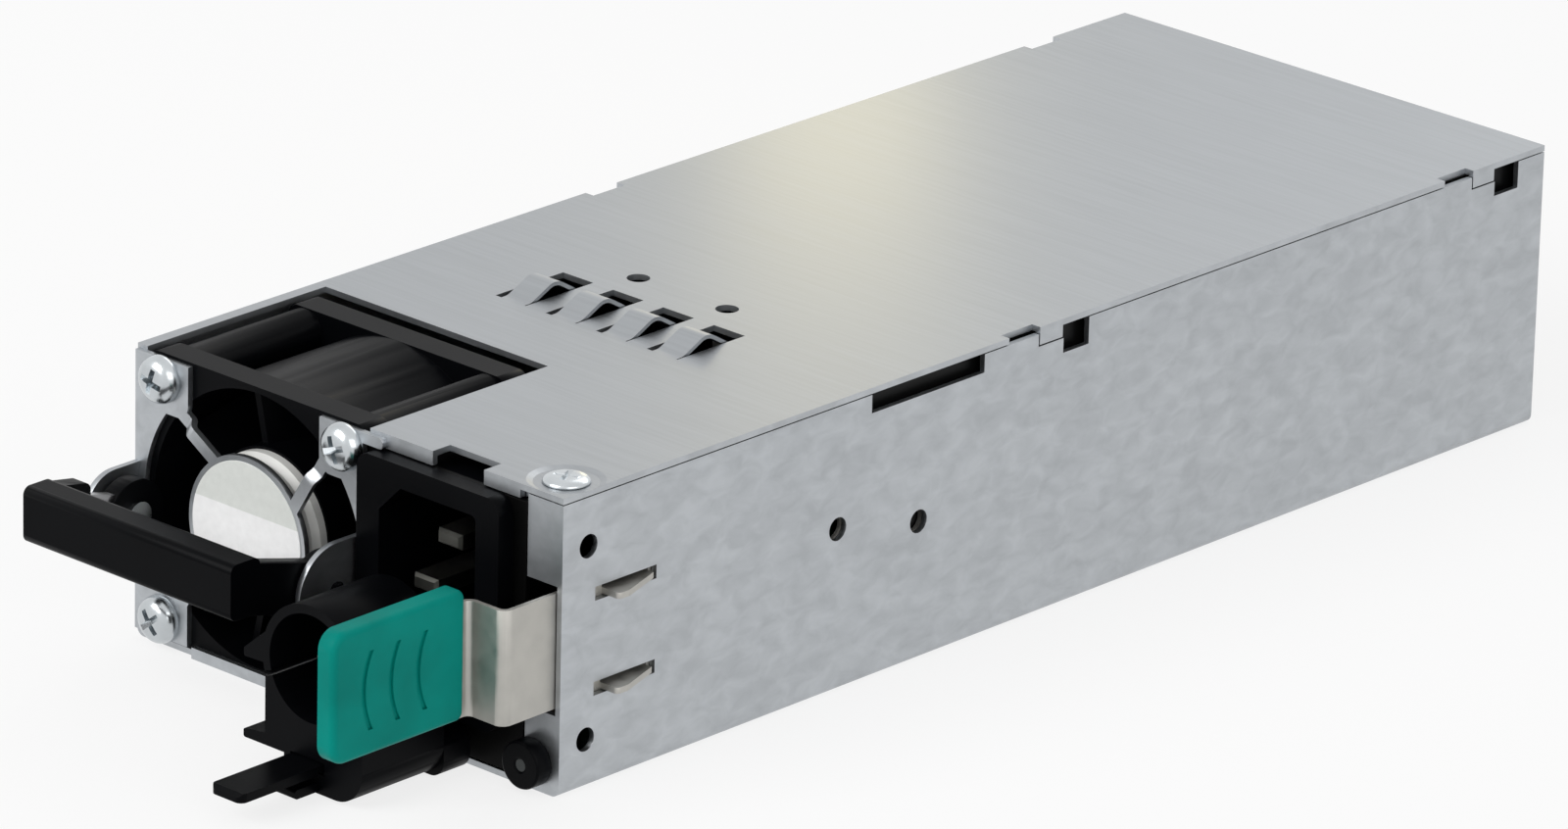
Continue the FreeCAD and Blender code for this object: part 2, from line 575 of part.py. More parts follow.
def cover_screw():
    """Flat head screw that lies in the cover's dimple."""
    seat = V(size("screw_x"), size("front+screw_set_back"), size("height-dimple_depth"))
    solid = screw(seat, size("screw_head_radius"), size("screw_head"), size("screw_radius"),
                  size("screw_length"))
    return keep("cover_screw", shaped("cover_screw_shape", solid))


def fan_corners():
    pitch = size("hole_pitch") / 2
    x, z = size("fan_x"), size("fan_z")
    return [(x + i * pitch, z + j * pitch) for i in (-1, 1) for j in (-1, 1)]


def fan_frame():
    """Moulded frame: two square flanges, a round duct, struts, motor base and bearing tube."""
    side, deep = size("fan_side"), size("fan_depth")
    x, z, y = size("fan_x"), size("fan_z"), size("fan_front")
    flange, duct, wall = size("fan_flange"), size("duct_radius"), size("duct_wall")
    along_y = V(0, 1, 0)
    square = [V(x + i * side / 2, y, z + j * side / 2)
              for i, j in ((-1, -1), (1, -1), (1, 1), (-1, 1))]
    plate = prism(square, [size("fan_round")] * 4, V(0, flange, 0))
    rear = plate.copy()
    rear.translate(V(0, deep - flange, 0))
    duct_outside = Part.makeCylinder(duct + wall, deep, V(x, y, z), along_y)
    corners = fan_corners()
    posts = [Part.makeCylinder(size("fan_hole_radius+post_wall"), deep, V(a, y, b), along_y)
             for a, b in corners]
    box_limit = Part.makeBox(side, deep, side, V(x - side / 2, y, z - side / 2))
    body = plate.fuse([rear, duct_outside] + posts).common(box_limit)
    body = body.cut(Part.makeCylinder(duct, deep, V(x, y, z), along_y))
    bores = [Part.makeCylinder(size("fan_hole_radius"), deep, V(a, y, b), along_y)
             for a, b in corners]
    body = body.cut(Part.makeCompound(bores))
    back = y + deep
    base = Part.makeCylinder(size("motor_base_radius"), size("motor_base"),
                             V(x, back - size("motor_base"), z), along_y)
    struts = []
    for i in range(int(size("strut_count"))):
        strut = Part.makeBox(duct + wall / 2, size("motor_base"), size("strut_width"),
                             V(0, 0, -size("strut_width") / 2))
        strut.rotate(V(), V(0, 1, 0), size("strut_turn") + i * 360 / size("strut_count"))
        strut.translate(V(x, back - size("motor_base"), z))
        struts.append(strut)
    tube_length = size("fan_depth-motor_base-hub_set_back-hub_wall-tube_gap")
    tube = Part.makeCylinder(size("tube_radius"), tube_length,
                             V(x, back - size("motor_base") - tube_length, z), along_y)
    body = body.fuse([base, tube] + struts)
    bore = Part.makeCylinder(size("bearing_radius"), tube_length + size("motor_base-tube_floor"),
                             V(x, back - size("motor_base") - tube_length, z), along_y)
    return keep("fan_frame", shaped("fan_frame_shape", body.cut(bore).removeSplitter()))


def fan_rotor():
    """Hub cup with twisted blades, open to the back over the stator."""
    x, z = size("fan_x"), size("fan_z")
    hub, wall = size("hub_radius"), size("hub_wall")
    y = size("fan_front+hub_set_back")
    along_y = V(0, 1, 0)
    cup = Part.makeCylinder(hub, size("hub_length"), V(x, y, z), along_y)
    cup = cup.cut(Part.makeCylinder(hub - wall, size("hub_length"), V(x, y + wall, z), along_y))
    cup = cup.cut(Part.makeCylinder(size("shaft_radius"), wall, V(x, y, z), along_y))
    tip = size("duct_radius") - size("blade_gap")
    thick, span = size("blade_steel"), size("blade_length")
    start = y + size("blade_set_back")
    sections = []
    for step in range(3):
        part = step / 2
        turn = size("blade_turn") * part
        low, high = hub - wall * 0.6, tip + 1
        face = Part.makePolygon([V(low, 0, -thick / 2), V(high, 0, -thick / 2),
                                 V(high, 0, thick / 2), V(low, 0, thick / 2),
                                 V(low, 0, -thick / 2)])
        face.rotate(V(), V(0, 1, 0), turn)
        face.translate(V(x, start + span * part, z))
        sections.append(face)
    blade = Part.makeLoft(sections, True, False)
    limit = Part.makeCylinder(tip, span, V(x, start, z), along_y)
    inner = Part.makeCylinder(hub - wall * 0.5, span, V(x, start, z), along_y)
    blade = blade.common(limit).cut(inner)
    blades = []
    for i in range(int(size("blade_count"))):
        copy = blade.copy()
        copy.rotate(V(x, 0, z), V(0, 1, 0), i * 360 / size("blade_count"))
        blades.append(copy)
    return keep("fan_rotor", shaped("fan_rotor_shape", cup.fuse(blades).removeSplitter()))


def fan_motor():
    """Shaft, two ball bearings, magnet ring and wound stator inside the hub."""
    x, y, z = "fan_x", "fan_front+hub_set_back", "fan_z"
    shaft = rod("shaft_bar", "y", x, y, z, "shaft_radius", "shaft_length")
    keep("fan_shaft", shaft)
    rings = []
    for i in range(2):
        start = "%s+bearing_start+%d*bearing_pitch" % (y, i)
        outer = rod("bearing_outer", "y", x, start, z, "bearing_radius", "bearing_length")
        inner = rod("bearing_bore", "y", x, start, z, "shaft_radius+running_gap", "bearing_length")
        rings.append(cut("bearing", outer, [inner]))
    group("fan_bearings", rings)
    start = y + "+magnet_behind"
    outer = rod("magnet_outer", "y", x, start, z, "hub_radius-hub_wall", "magnet_length")
    inner = rod("magnet_inner", "y", x, start, z, "hub_radius-hub_wall-magnet_steel",
                "magnet_length")
    keep("fan_magnet", cut("magnet_ring", outer, [inner]))
    start = y + "+core_behind"
    outer = rod("core_outer", "y", x, start, z, "core_radius", "core_length")
    inner = rod("core_inner", "y", x, start, z, "tube_radius", "core_length")
    slots = []
    for angle in (45, 135, 225, 315):
        slot = doc.addObject("Part::Box", "core_slot")
        slot.Placement = FreeCAD.Placement(V(), FreeCAD.Rotation(V(0, 1, 0), angle))
        bind(slot, Length="core_radius", Width="core_length", Height="core_slot")
        slots.append(place(slot, "fan_x+core_start*cos(%d)-core_slot/2*sin(%d)" % (angle, angle),
                           start, "fan_z-core_start*sin(%d)-core_slot/2*cos(%d)" % (angle, angle)))
    keep("fan_stator", cut("stator_core", outer, [inner] + slots))


def handle_rise():
    """How much the handle's arms climb for each millimetre that they reach forward."""
    return size("(grip_middle-hinge_height)/(grip_reach-grip_depth/2-guard_steel-hinge_reach)")


def stop_lugs(left, right):
    """Small shelves folded in from the ears, on which the handle's arms come to rest."""
    out, deep, tall, gap = (size(t) for t in ("lug_reach", "lug_depth", "lug_height", "lug_gap"))
    y = size("hinge_y") - out
    rise = handle_rise()
    lugs = []
    for start, end, arm in ((left, size("bail_left+boss_width"), size("bail_height")),
                            (size("bail_right-boss_width/2"), right,
                             size("grip_height-sleeve_less"))):
        top = size("hinge_height") + rise * (out - deep / 2) - arm / 2 * math.hypot(1, rise) - gap
        lugs.append(Part.makeBox(end - start, deep, tall, V(start, y - deep / 2, top - tall)))
        if start == left:
            lugs.append(Part.makeBox(size("ear_steel"), out + deep / 2, size("lug_arm"),
                                     V(left, y - deep / 2, top - size("lug_arm"))))
    return lugs


def guard_lobes(left, right, low, high):
    """The guard's four rounded corners, each under one fan screw."""
    x, z, inner = size("fan_x"), size("fan_z"), size("fan_side/2-guard_lobe")
    y, thick = size("fan_front-guard_steel"), size("guard_steel")
    outer_round = size("guard_corner")
    lobes = []
    for i, edge_x in ((-1, left), (1, right)):
        for j, edge_z in ((-1, low), (1, high)):
            corner = [V(x + i * inner, y, z + j * inner), V(edge_x, y, z + j * inner),
                      V(edge_x, y, edge_z), V(x + i * inner, y, edge_z)]
            lobes.append(prism(corner, [size("guard_round"), 0, outer_round, outer_round],
                               V(0, thick, 0)))
    return lobes


def guard_spokes():
    """Four spokes from the lobes' inner corners, jogged forward, aslant to the disc."""
    thick, jog, wide = size("guard_steel"), size("guard_jog"), size("spoke_width")
    start, reach = size("spoke_start"), size("fan_side/2-guard_lobe") * math.sqrt(2)
    run = reach - size("guard_disc_radius-spoke_overlap")
    path = [V(start, thick / 2, 0), V(-jog / 2, thick / 2, 0), V(-3 * jog / 2, thick / 2 - jog, 0),
            V(-run, thick / 2 - jog, 0)]
    spokes = []
    for turn in (45, 135, 225, 315):
        spoke = ribbon(path, thick, thick, V(0, 0, wide))
        spoke.translate(V(0, 0, -wide / 2))
        spoke.rotate(V(), V(0, 1, 0), -size("spoke_skew"))
        spoke.translate(V(reach, 0, 0))
        spoke.rotate(V(), V(0, 1, 0), turn)
        spoke.translate(V(size("fan_x"), size("fan_front") - thick, size("fan_z")))
        spokes.append(spoke)
    return spokes


def fan_guard():
    """Stamped zinc plate: corner lobes, open middle, jogged spokes, a disc and two ears."""
    x, z, half = size("fan_x"), size("fan_z"), size("fan_side/2")
    thick, lobe, edge = size("guard_steel"), size("guard_lobe"), size("guard_margin")
    y = size("fan_front") - thick
    along_y = V(0, 1, 0)
    left, right = edge - size("half"), x + half
    low, high = z - half + edge, z + half - edge
    plate = Part.makeBox(right - left, thick, high - low, V(left, y, low))
    plate = plate.cut(Part.makeCylinder(size("guard_hole_radius"), thick, V(x, y, z), along_y))
    plate = plate.cut(Part.makeBox(2 * (half - lobe), thick, 2 * half, V(x - half + lobe, y, z - half)))
    reach, drop = size("guard_tab_reach"), size("guard_tab_drop")
    tab = prism([V(right - lobe / 2, y, high - drop), V(right + reach, y, high - drop),
                 V(right + reach, y, high), V(right - lobe / 2, y, high)], [0, drop / 3, drop / 2, 0],
                V(0, thick, 0))
    disc = Part.makeCylinder(size("guard_disc_radius"), thick, V(x, y - size("guard_jog"), z), along_y)
    parts = [tab, disc] + guard_lobes(left, right, low, high) + guard_spokes()
    hinge_y, hinge_z, steel = size("hinge_y"), size("hinge_height"), size("ear_steel")
    for ear_x, ear in ((left, size("ear_radius_left")), (right - steel, size("ear_radius_right"))):
        eye = Part.makeCylinder(ear, steel, V(ear_x, hinge_y, hinge_z), V(1, 0, 0))
        web = Part.makeBox(steel, y + thick - hinge_y, 2 * ear, V(ear_x, hinge_y, hinge_z - ear))
        below = Part.makeBox(steel, 2 * ear, 2 * ear, V(ear_x, y + thick, hinge_z - ear))
        parts.append(eye.fuse(web).cut(below))
    guard = plate.fuse(parts + stop_lugs(left, right))
    pin = Part.makeCylinder(size("pin_radius"), right - left, V(left, hinge_y, hinge_z), V(1, 0, 0))
    holes = [Part.makeCylinder(size("fan_screw_radius"), thick, V(a, y, b), along_y)
             for a, b in fan_corners()]
    guard = guard.cut(Part.makeCompound(holes + [pin]))
    return keep("fan_guard", shaped("fan_guard_shape", guard.removeSplitter()))


def fan_screws():
    """Four pan head screws through the guard into the fan's corner posts."""
    screws = []
    for x, z in fan_corners():
        one = screw(V(), size("pan_head_radius"), size("pan_head"), size("fan_screw_radius"),
                    size("fan_screw_length"))
        one.rotate(V(), V(1, 0, 0), 90)
        one.translate(V(x, size("fan_front-guard_steel"), z))
        screws.append(one)
    return keep("fan_screws", shaped("fan_screws_shape", Part.makeCompound(screws)))


def arm_outline(x, thick, tall, boss):
    """A bail arm in side view: a round eye at the hinge and a bar up to the grip."""
    hinge_y, hinge_z = size("hinge_y"), size("hinge_height")
    end_y = size("front-grip_reach+grip_depth/2")
    end_z = size("grip_middle")
    eye = Part.makeCylinder(boss, thick, V(x, hinge_y, hinge_z), V(1, 0, 0))
    bar = prism([V(x, hinge_y, hinge_z - tall / 2), V(x, hinge_y, hinge_z + tall / 2),
                 V(x, end_y, end_z + tall / 2), V(x, end_y, end_z - tall / 2)], [0] * 4,
                V(thick, 0, 0))
    return eye.fuse(bar)


def handle():
    """Steel bail with a moulded grip, hung on two pins in the guard's ears."""
    left, right = size("bail_left"), size("bail_right")
    steel, tall = size("bail_steel"), size("bail_height")
    front = size("front-grip_reach")
    deep, high, mid = size("grip_depth"), size("grip_height"), size("grip_middle")
    hinge_y, hinge_z = size("hinge_y"), size("hinge_height")
    boss, boss_wide = size("boss_radius"), size("boss_width")
    inset = (boss_wide - steel) / 2
    arms = [arm_outline(a, steel, tall, size("bail_eye"))
            for a in (left + inset, right - inset - steel)]
    cross = Part.makeBox(right - left - 2 * inset, steel, tall,
                         V(left + inset, front + deep - steel, mid - tall / 2))
    wide, long, around = right - left, size("length"), size("height")
    behind_grip = Part.makeBox(wide, long, 3 * around, V(left, front + deep - steel, -around))
    pin_bore = Part.makeCylinder(size("pin_radius+pin_gap"), wide, V(left, hinge_y, hinge_z),
                                 V(1, 0, 0))
    bail = arms[0].fuse([arms[1], cross]).common(behind_grip).cut(pin_bore).removeSplitter()
    keep("handle_bail", shaped("handle_bail_shape", bail))

    round_off = size("grip_round")
    bar = prism([V(left, front, mid - high / 2), V(left, front + deep, mid - high / 2),
                 V(left, front + deep, mid + high / 2), V(left, front, mid + high / 2)],
                [round_off] * 4, V(wide, 0, 0))
    back, drop = front + deep + size("grip_return"), size("return_drop")
    hook = prism([V(left, front + deep / 2, mid - high / 2),
                  V(left, back, mid - high / 2 - drop / 2),
                  V(left, back, mid + high / 2 - drop),
                  V(left, front + deep / 2, mid + high / 2)], [0, round_off, round_off, 0],
                 V(boss_wide, 0, 0))
    sleeve = arm_outline(right - boss_wide, boss_wide, size("grip_height-sleeve_less"), boss)
    left_boss = Part.makeCylinder(boss, boss_wide, V(left, hinge_y, hinge_z), V(1, 0, 0))
    behind_face = Part.makeBox(wide, long, 3 * around, V(left, front, -around))
    grip = bar.fuse([hook, sleeve]).common(behind_face)
    solids = grip.cut(bail).cut(pin_bore).Solids + left_boss.cut(bail).cut(pin_bore).Solids
    keep("handle_grip", shaped("handle_grip_shape", Part.makeCompound(solids)))

    pins = []
    ear, gap, edge = size("ear_steel"), size("bail_gap"), size("guard_margin")
    for start, sign, reach in ((edge - size("half"), 1, left - edge + size("half")),
                               (right + gap + ear, -1, gap + ear)):
        long = reach + boss_wide + size("pin_gap")
        pin = Part.makeCylinder(size("pin_radius"), long, V(start, hinge_y, hinge_z), V(sign, 0, 0))
        tip = V(start + sign * long, hinge_y, hinge_z)
        head = Part.makeCylinder(size("pin_head_radius"), size("pin_head"), tip, V(sign, 0, 0))
        pins.append(pin.fuse(head).removeSplitter())
    keep("handle_pins", shaped("handle_pins_shape", Part.makeCompound(pins)))


def front_panel():
    """Steel plate between the fan and the flange, with the inlet and the cord strap."""
    plate = box("panel_plate", "panel_left", "front", "steel+panel_gap",
                "flange_left-panel_gap-panel_left", "steel",
                "height-lip_height-panel_top_gap-steel-panel_gap")
    inlet = box("panel_inlet_hole", "inlet_x-socket_width/2-inlet_wall", "front-steel",
                "inlet_z-socket_height/2-inlet_wall", "socket_width+2*inlet_wall", "3*steel",
                "socket_height+2*inlet_wall")
    light = rod("panel_light_notch", "y", "led_x", "front-steel", "led_z", "led_barrel_radius",
                "3*steel")
    anchor = box("panel_anchor_hole", "strap_x-barb_width/2", "front-steel", "strap_bottom",
                 "barb_width", "3*steel", "strap_steel")
    return keep("front_panel", cut("panel_finished", plate, [inlet, light, anchor]))


def inlet():
    """Upright mains inlet: bezel, socket with two cut corners and three blades."""
    x, z, front = size("inlet_x"), size("inlet_z"), size("front")
    wide, tall, deep = size("bezel_width"), size("bezel_height"), size("bezel_depth")
    corner = [V(x + i * wide / 2, front - deep, z + j * tall / 2)
              for i, j in ((-1, -1), (1, -1), (1, 1), (-1, 1))]
    bezel = prism(corner, [size("bezel_round")] * 4, V(0, deep, 0))
    wall = size("inlet_wall")
    socket_w, socket_h = size("socket_width"), size("socket_height")
    back = front - deep + size("socket_depth") + size("inlet_back")
    shell = Part.makeBox(socket_w + 2 * wall, back - front, socket_h + 2 * wall,
                         V(x - socket_w / 2 - wall, front, z - socket_h / 2 - wall))
    corner = [V(x + i * socket_w / 2, front - deep, z + j * socket_h / 2)
              for i, j in ((-1, -1), (1, -1), (1, 1), (-1, 1))]
    cut_off = size("socket_chamfer")
    points = [corner[0] + V(cut_off, 0, 0), corner[1], corner[2], corner[3] + V(cut_off, 0, 0),
              corner[3] - V(0, 0, cut_off), corner[0] + V(0, 0, cut_off)]
    large = size("socket_round")
    small = large / 2
    socket = prism(points, [small, large, large, small, small, small],
                   V(0, size("socket_depth"), 0))
    body = bezel.fuse(shell).cut(socket)
    blade_w, blade_t = size("blade_wide"), size("blade_thin")
    offset, spread = size("earth_offset") / 2, size("blade_spread") / 2
    start, end = front - deep + size("blade_inset"), back + size("blade_tail")
    blades = []
    for dx, dz in ((offset, spread), (offset, -spread), (-offset, 0)):
        low, taper = V(x + dx - blade_w / 2, 0, z + dz - blade_t / 2), size("blade_taper")
        base = Part.makeBox(blade_w, end - start - taper, blade_t, low + V(0, start + taper, 0))
        tip = Part.makeLoft([
            Part.makePolygon([low + V(a, y, b) for a, b in (
                (inset, inset), (blade_w - inset, inset), (blade_w - inset, blade_t - inset),
                (inset, blade_t - inset), (inset, inset))])
            for y, inset in ((start, taper * 0.7), (start + taper, 0))], True, True)
        blades.append(base.fuse(tip).removeSplitter())
    body = body.cut(Part.makeCompound(blades)).removeSplitter()
    keep("inlet_housing", shaped("inlet_housing_shape", body))
    keep("inlet_blades", shaped("inlet_blades_shape", Part.makeCompound(blades)))
    thick, edge, side = (size(t) for t in ("board_steel", "inlet_board_edge", "inlet_board_side"))
    board = Part.makeBox(socket_w + 2 * wall + edge + side, thick, socket_h + 2 * wall + edge,
                         V(x - socket_w / 2 - wall - edge, end - 2 * thick,
                           z - socket_h / 2 - wall - edge))
    board = board.cut(Part.makeCompound(blades))
    keep("inlet_board", shaped("inlet_board_shape", board))


def status_light():
    """Light pipe in a round black bezel."""
    x, z = "led_x", "led_z"
    face = rod("light_face", "y", x, "front-led_bezel_depth", z, "led_bezel_radius",
               "led_bezel_depth")
    barrel = rod("light_barrel", "y", x, "front", z, "led_barrel_radius", "led_barrel")
    bore = rod("light_bore", "y", x, "front-2*led_bezel_depth", z, "led_radius", "4*led_bezel_depth")
    keep("light_bezel", cut("light_bezel_cut", fuse("light_bezel_blank", [face, barrel]), [bore]))
    keep("light_pipe", rod("light_pipe_bar", "y", x, "front-led_bezel_depth+led_sink", z, "led_radius",
                           "led_length"))


def latch_teeth(x):
    """Two teeth lanced out of the leaf, steep in front and with a long ramp behind."""
    steel, wall, outside = size("tooth_steel"), size("half"), size("half+tooth_reach")
    start, crest, end = (size("front+slot_set_back+" + t)
                         for t in ("tooth_start", "tooth_crest", "tooth_end"))
    teeth, windows = [], []
    for i in range(2):
        z = size("leaf_bottom+tooth_low") + i * size("tooth_pitch")
        points = [V(x, start, z), V(outside, start, z), V(outside, crest, z), V(wall, end, z),
                  V(x, end, z)]
        bend = size("tooth_round")
        teeth.append(prism(points, [0, bend, 2 * bend, 0, 0], V(0, 0, steel)))
        windows.append(Part.makeBox(4 * steel, end - start, size("lance_gap"),
                                    V(x - 2 * steel, start, z + steel)))
    return teeth, windows


def thumb_pad():
    """Moulded pad with rounded corners, a rounded rim and three curved grip grooves."""
    outer, deep = size("pad_outer_x"), size("pad_depth")
    back, long = size("pad_back"), size("pad_length")
    base, high = size("pad_bottom"), size("pad_height")
    corner = size("pad_corner")
    points = [V(outer - deep, back, base), V(outer - deep, back - long, base),
              V(outer - deep, back - long, base + high), V(outer - deep, back, base + high)]
    block = prism(points, [corner / 2, corner, corner, corner / 2], V(deep, 0, 0))
    rim = [e for e in block.Edges if abs(e.CenterOfMass.x - outer) < 1e-6]
    block = block.makeFillet(size("pad_round"), rim)
    radius, wide, sink = size("groove_radius"), size("groove_width"), size("groove_depth")
    middle_z, tall = base + high / 2, high * 0.6
    count = int(size("groove_count"))
    grooves = []
    for i in range(count):
        crown = back - long / 2 + (i - (count - 1) / 2) * size("groove_pitch") - size("groove_crown")
        centre = V(outer - sink, crown + radius, middle_z)
        ring = Part.makeCylinder(radius + wide / 2, deep, centre, V(1, 0, 0))
        ring = ring.cut(Part.makeCylinder(radius - wide / 2, deep, centre, V(1, 0, 0)))
        window = Part.makeBox(2 * deep, radius, tall,
                              V(outer - deep, crown - wide, middle_z - tall / 2))
        grooves.append(ring.common(window))
    return block.cut(Part.makeCompound(grooves))


def latch():
    """Leaf of spring steel with two teeth, and the moulded thumb pad on its end."""
    thick, low, tall = size("leaf_steel"), size("leaf_bottom"), size("leaf_height")
    x = size("leaf_x") + thick / 2
    root, turn_y = size("leaf_root_at"), size("front-leaf_reach") + thick / 2
    pad_mid = size("pad_outer_x-pad_depth/2")
    path = [V(x, root - size("root_gap"), low), V(x, turn_y, low), V(pad_mid, turn_y, low),
            V(pad_mid, size("pad_back-leaf_in_pad"), low)]
    leaf = ribbon(path, size("leaf_bend"), thick, V(0, 0, tall))
    teeth, windows = latch_teeth(x)
    relief = Part.makeCylinder(size("side_hole_radius"), 4 * thick,
                               V(x - 2 * thick, size("mid_hole_at"), size("mid_hole_height")),
                               V(1, 0, 0))
    leaf = leaf.fuse(teeth).cut(Part.makeCompound(windows + [relief])).removeSplitter()
    keep("latch_leaf", shaped("latch_leaf_shape", leaf))
    keep("latch_pad", shaped("latch_pad_shape", thumb_pad().cut(leaf).removeSplitter()))

    plate = box("latch_root_plate", "leaf_x", "leaf_root_at", "leaf_bottom", "leaf_steel",
                "leaf_root_length", "leaf_height")
    relief = rod("root_relief", "x", "leaf_x-leaf_steel", "mid_hole_at+mid_hole_pitch",
                 "mid_hole_height-mid_hole_drop", "side_hole_radius", "4*leaf_steel")
    keep("latch_root", cut("latch_root_cut", plate, [relief]))


def cord_strap():
    """Ladder strap that snaps into the panel and carries the cord clip."""
    x, wide = size("strap_x"), size("strap_width")
    low, thick, front = size("strap_bottom"), size("strap_steel"), size("front")
    tip, pitch, tooth = front - size("strap_reach"), size("strap_pitch"), size("strap_tooth")
    top = low + thick
    anchor = size("anchor_depth")
    slope = size("strap_tip")
    points = [V(0, front - anchor / 2, low), V(0, front - anchor / 2, top), V(0, tip + slope, top),
              V(0, tip, top - slope), V(0, tip, low)]
    y = tip + size("strap_plain")
    for i in range(int(size("strap_teeth"))):
        points += [V(0, y, low), V(0, y, low + tooth), V(0, y + pitch * 0.6, low)]
        y += pitch
    band = Part.Face(Part.makePolygon(points + [points[0]])).extrude(V(wide, 0, 0))
    band.translate(V(x - wide / 2, 0, 0))
    ends = [e for e in band.Edges if abs(e.CenterOfMass.y - tip) < 1e-6
            and abs(abs(e.CenterOfMass.x - x) - wide / 2) < 1e-6]
    band = band.makeFillet(size("strap_corner"), ends)
    plate_w, plate_h = size("anchor_width"), size("anchor_height")
    middle_z = low + thick / 2
    corners = [V(x + i * plate_w / 2, front - anchor, middle_z + j * plate_h / 2)
               for i, j in ((-1, -1), (1, -1), (1, 1), (-1, 1))]
    flange = prism(corners, [plate_h / 4] * 4, V(0, anchor, 0))
    barb_w, barb, lip, point = (size(t) for t in ("barb_width", "barb_length", "barb_lip",
                                                  "barb_point"))
    steel, gap = size("steel"), size("neck_gap")
    neck = Part.makeBox(barb_w - 2 * gap, steel + gap, thick, V(x - barb_w / 2 + gap, front, low))
    behind = front + steel + gap * 0.75
    arrow = prism([V(x - barb_w / 2 - lip, behind, low), V(x + barb_w / 2 + lip, behind, low),
                   V(x + point, front + barb, low), V(x - point, front + barb, low)], [0] * 4,
                  V(0, 0, thick))
    shape = band.fuse([flange, neck, arrow]).removeSplitter()
    return keep("cord_strap", shaped("cord_strap_shape", shape))


def ring_sector(start, end, front, long):
    """A wedge of the clip's round body between two angles, counted from +X towards +Z."""
    x, z, radius = size("ring_x"), size("ring_z"), size("ring_radius")
    angles = [math.radians(start + (end - start) * i / 2) for i in range(3)]
    rim = [V(x + radius * math.cos(a), front, z + radius * math.sin(a)) for a in angles]
    centre = V(x, front, z)
    edges = [Part.Arc(*rim).toShape(), Part.LineSegment(rim[2], centre).toShape(),
             Part.LineSegment(centre, rim[0]).toShape()]
    return Part.Face(Part.Wire(edges)).extrude(V(0, long, 0))


def clip_fin(fin_z, root_x, low, high):
    """One of the clip's side fins, from its thin tip to its root on the body."""
    tip, y, fin = size("fin_tip_x"), size("clip_y"), size("fin_steel")
    corners = [V(tip, y, fin_z - fin / 2), V(root_x, y, fin_z + low * fin),
               V(root_x, y, fin_z + high * fin), V(tip, y, fin_z + fin / 4)]
    return prism(corners, [fin / 5, 0, 0, fin / 5], V(0, size("fin_depth"), 0))


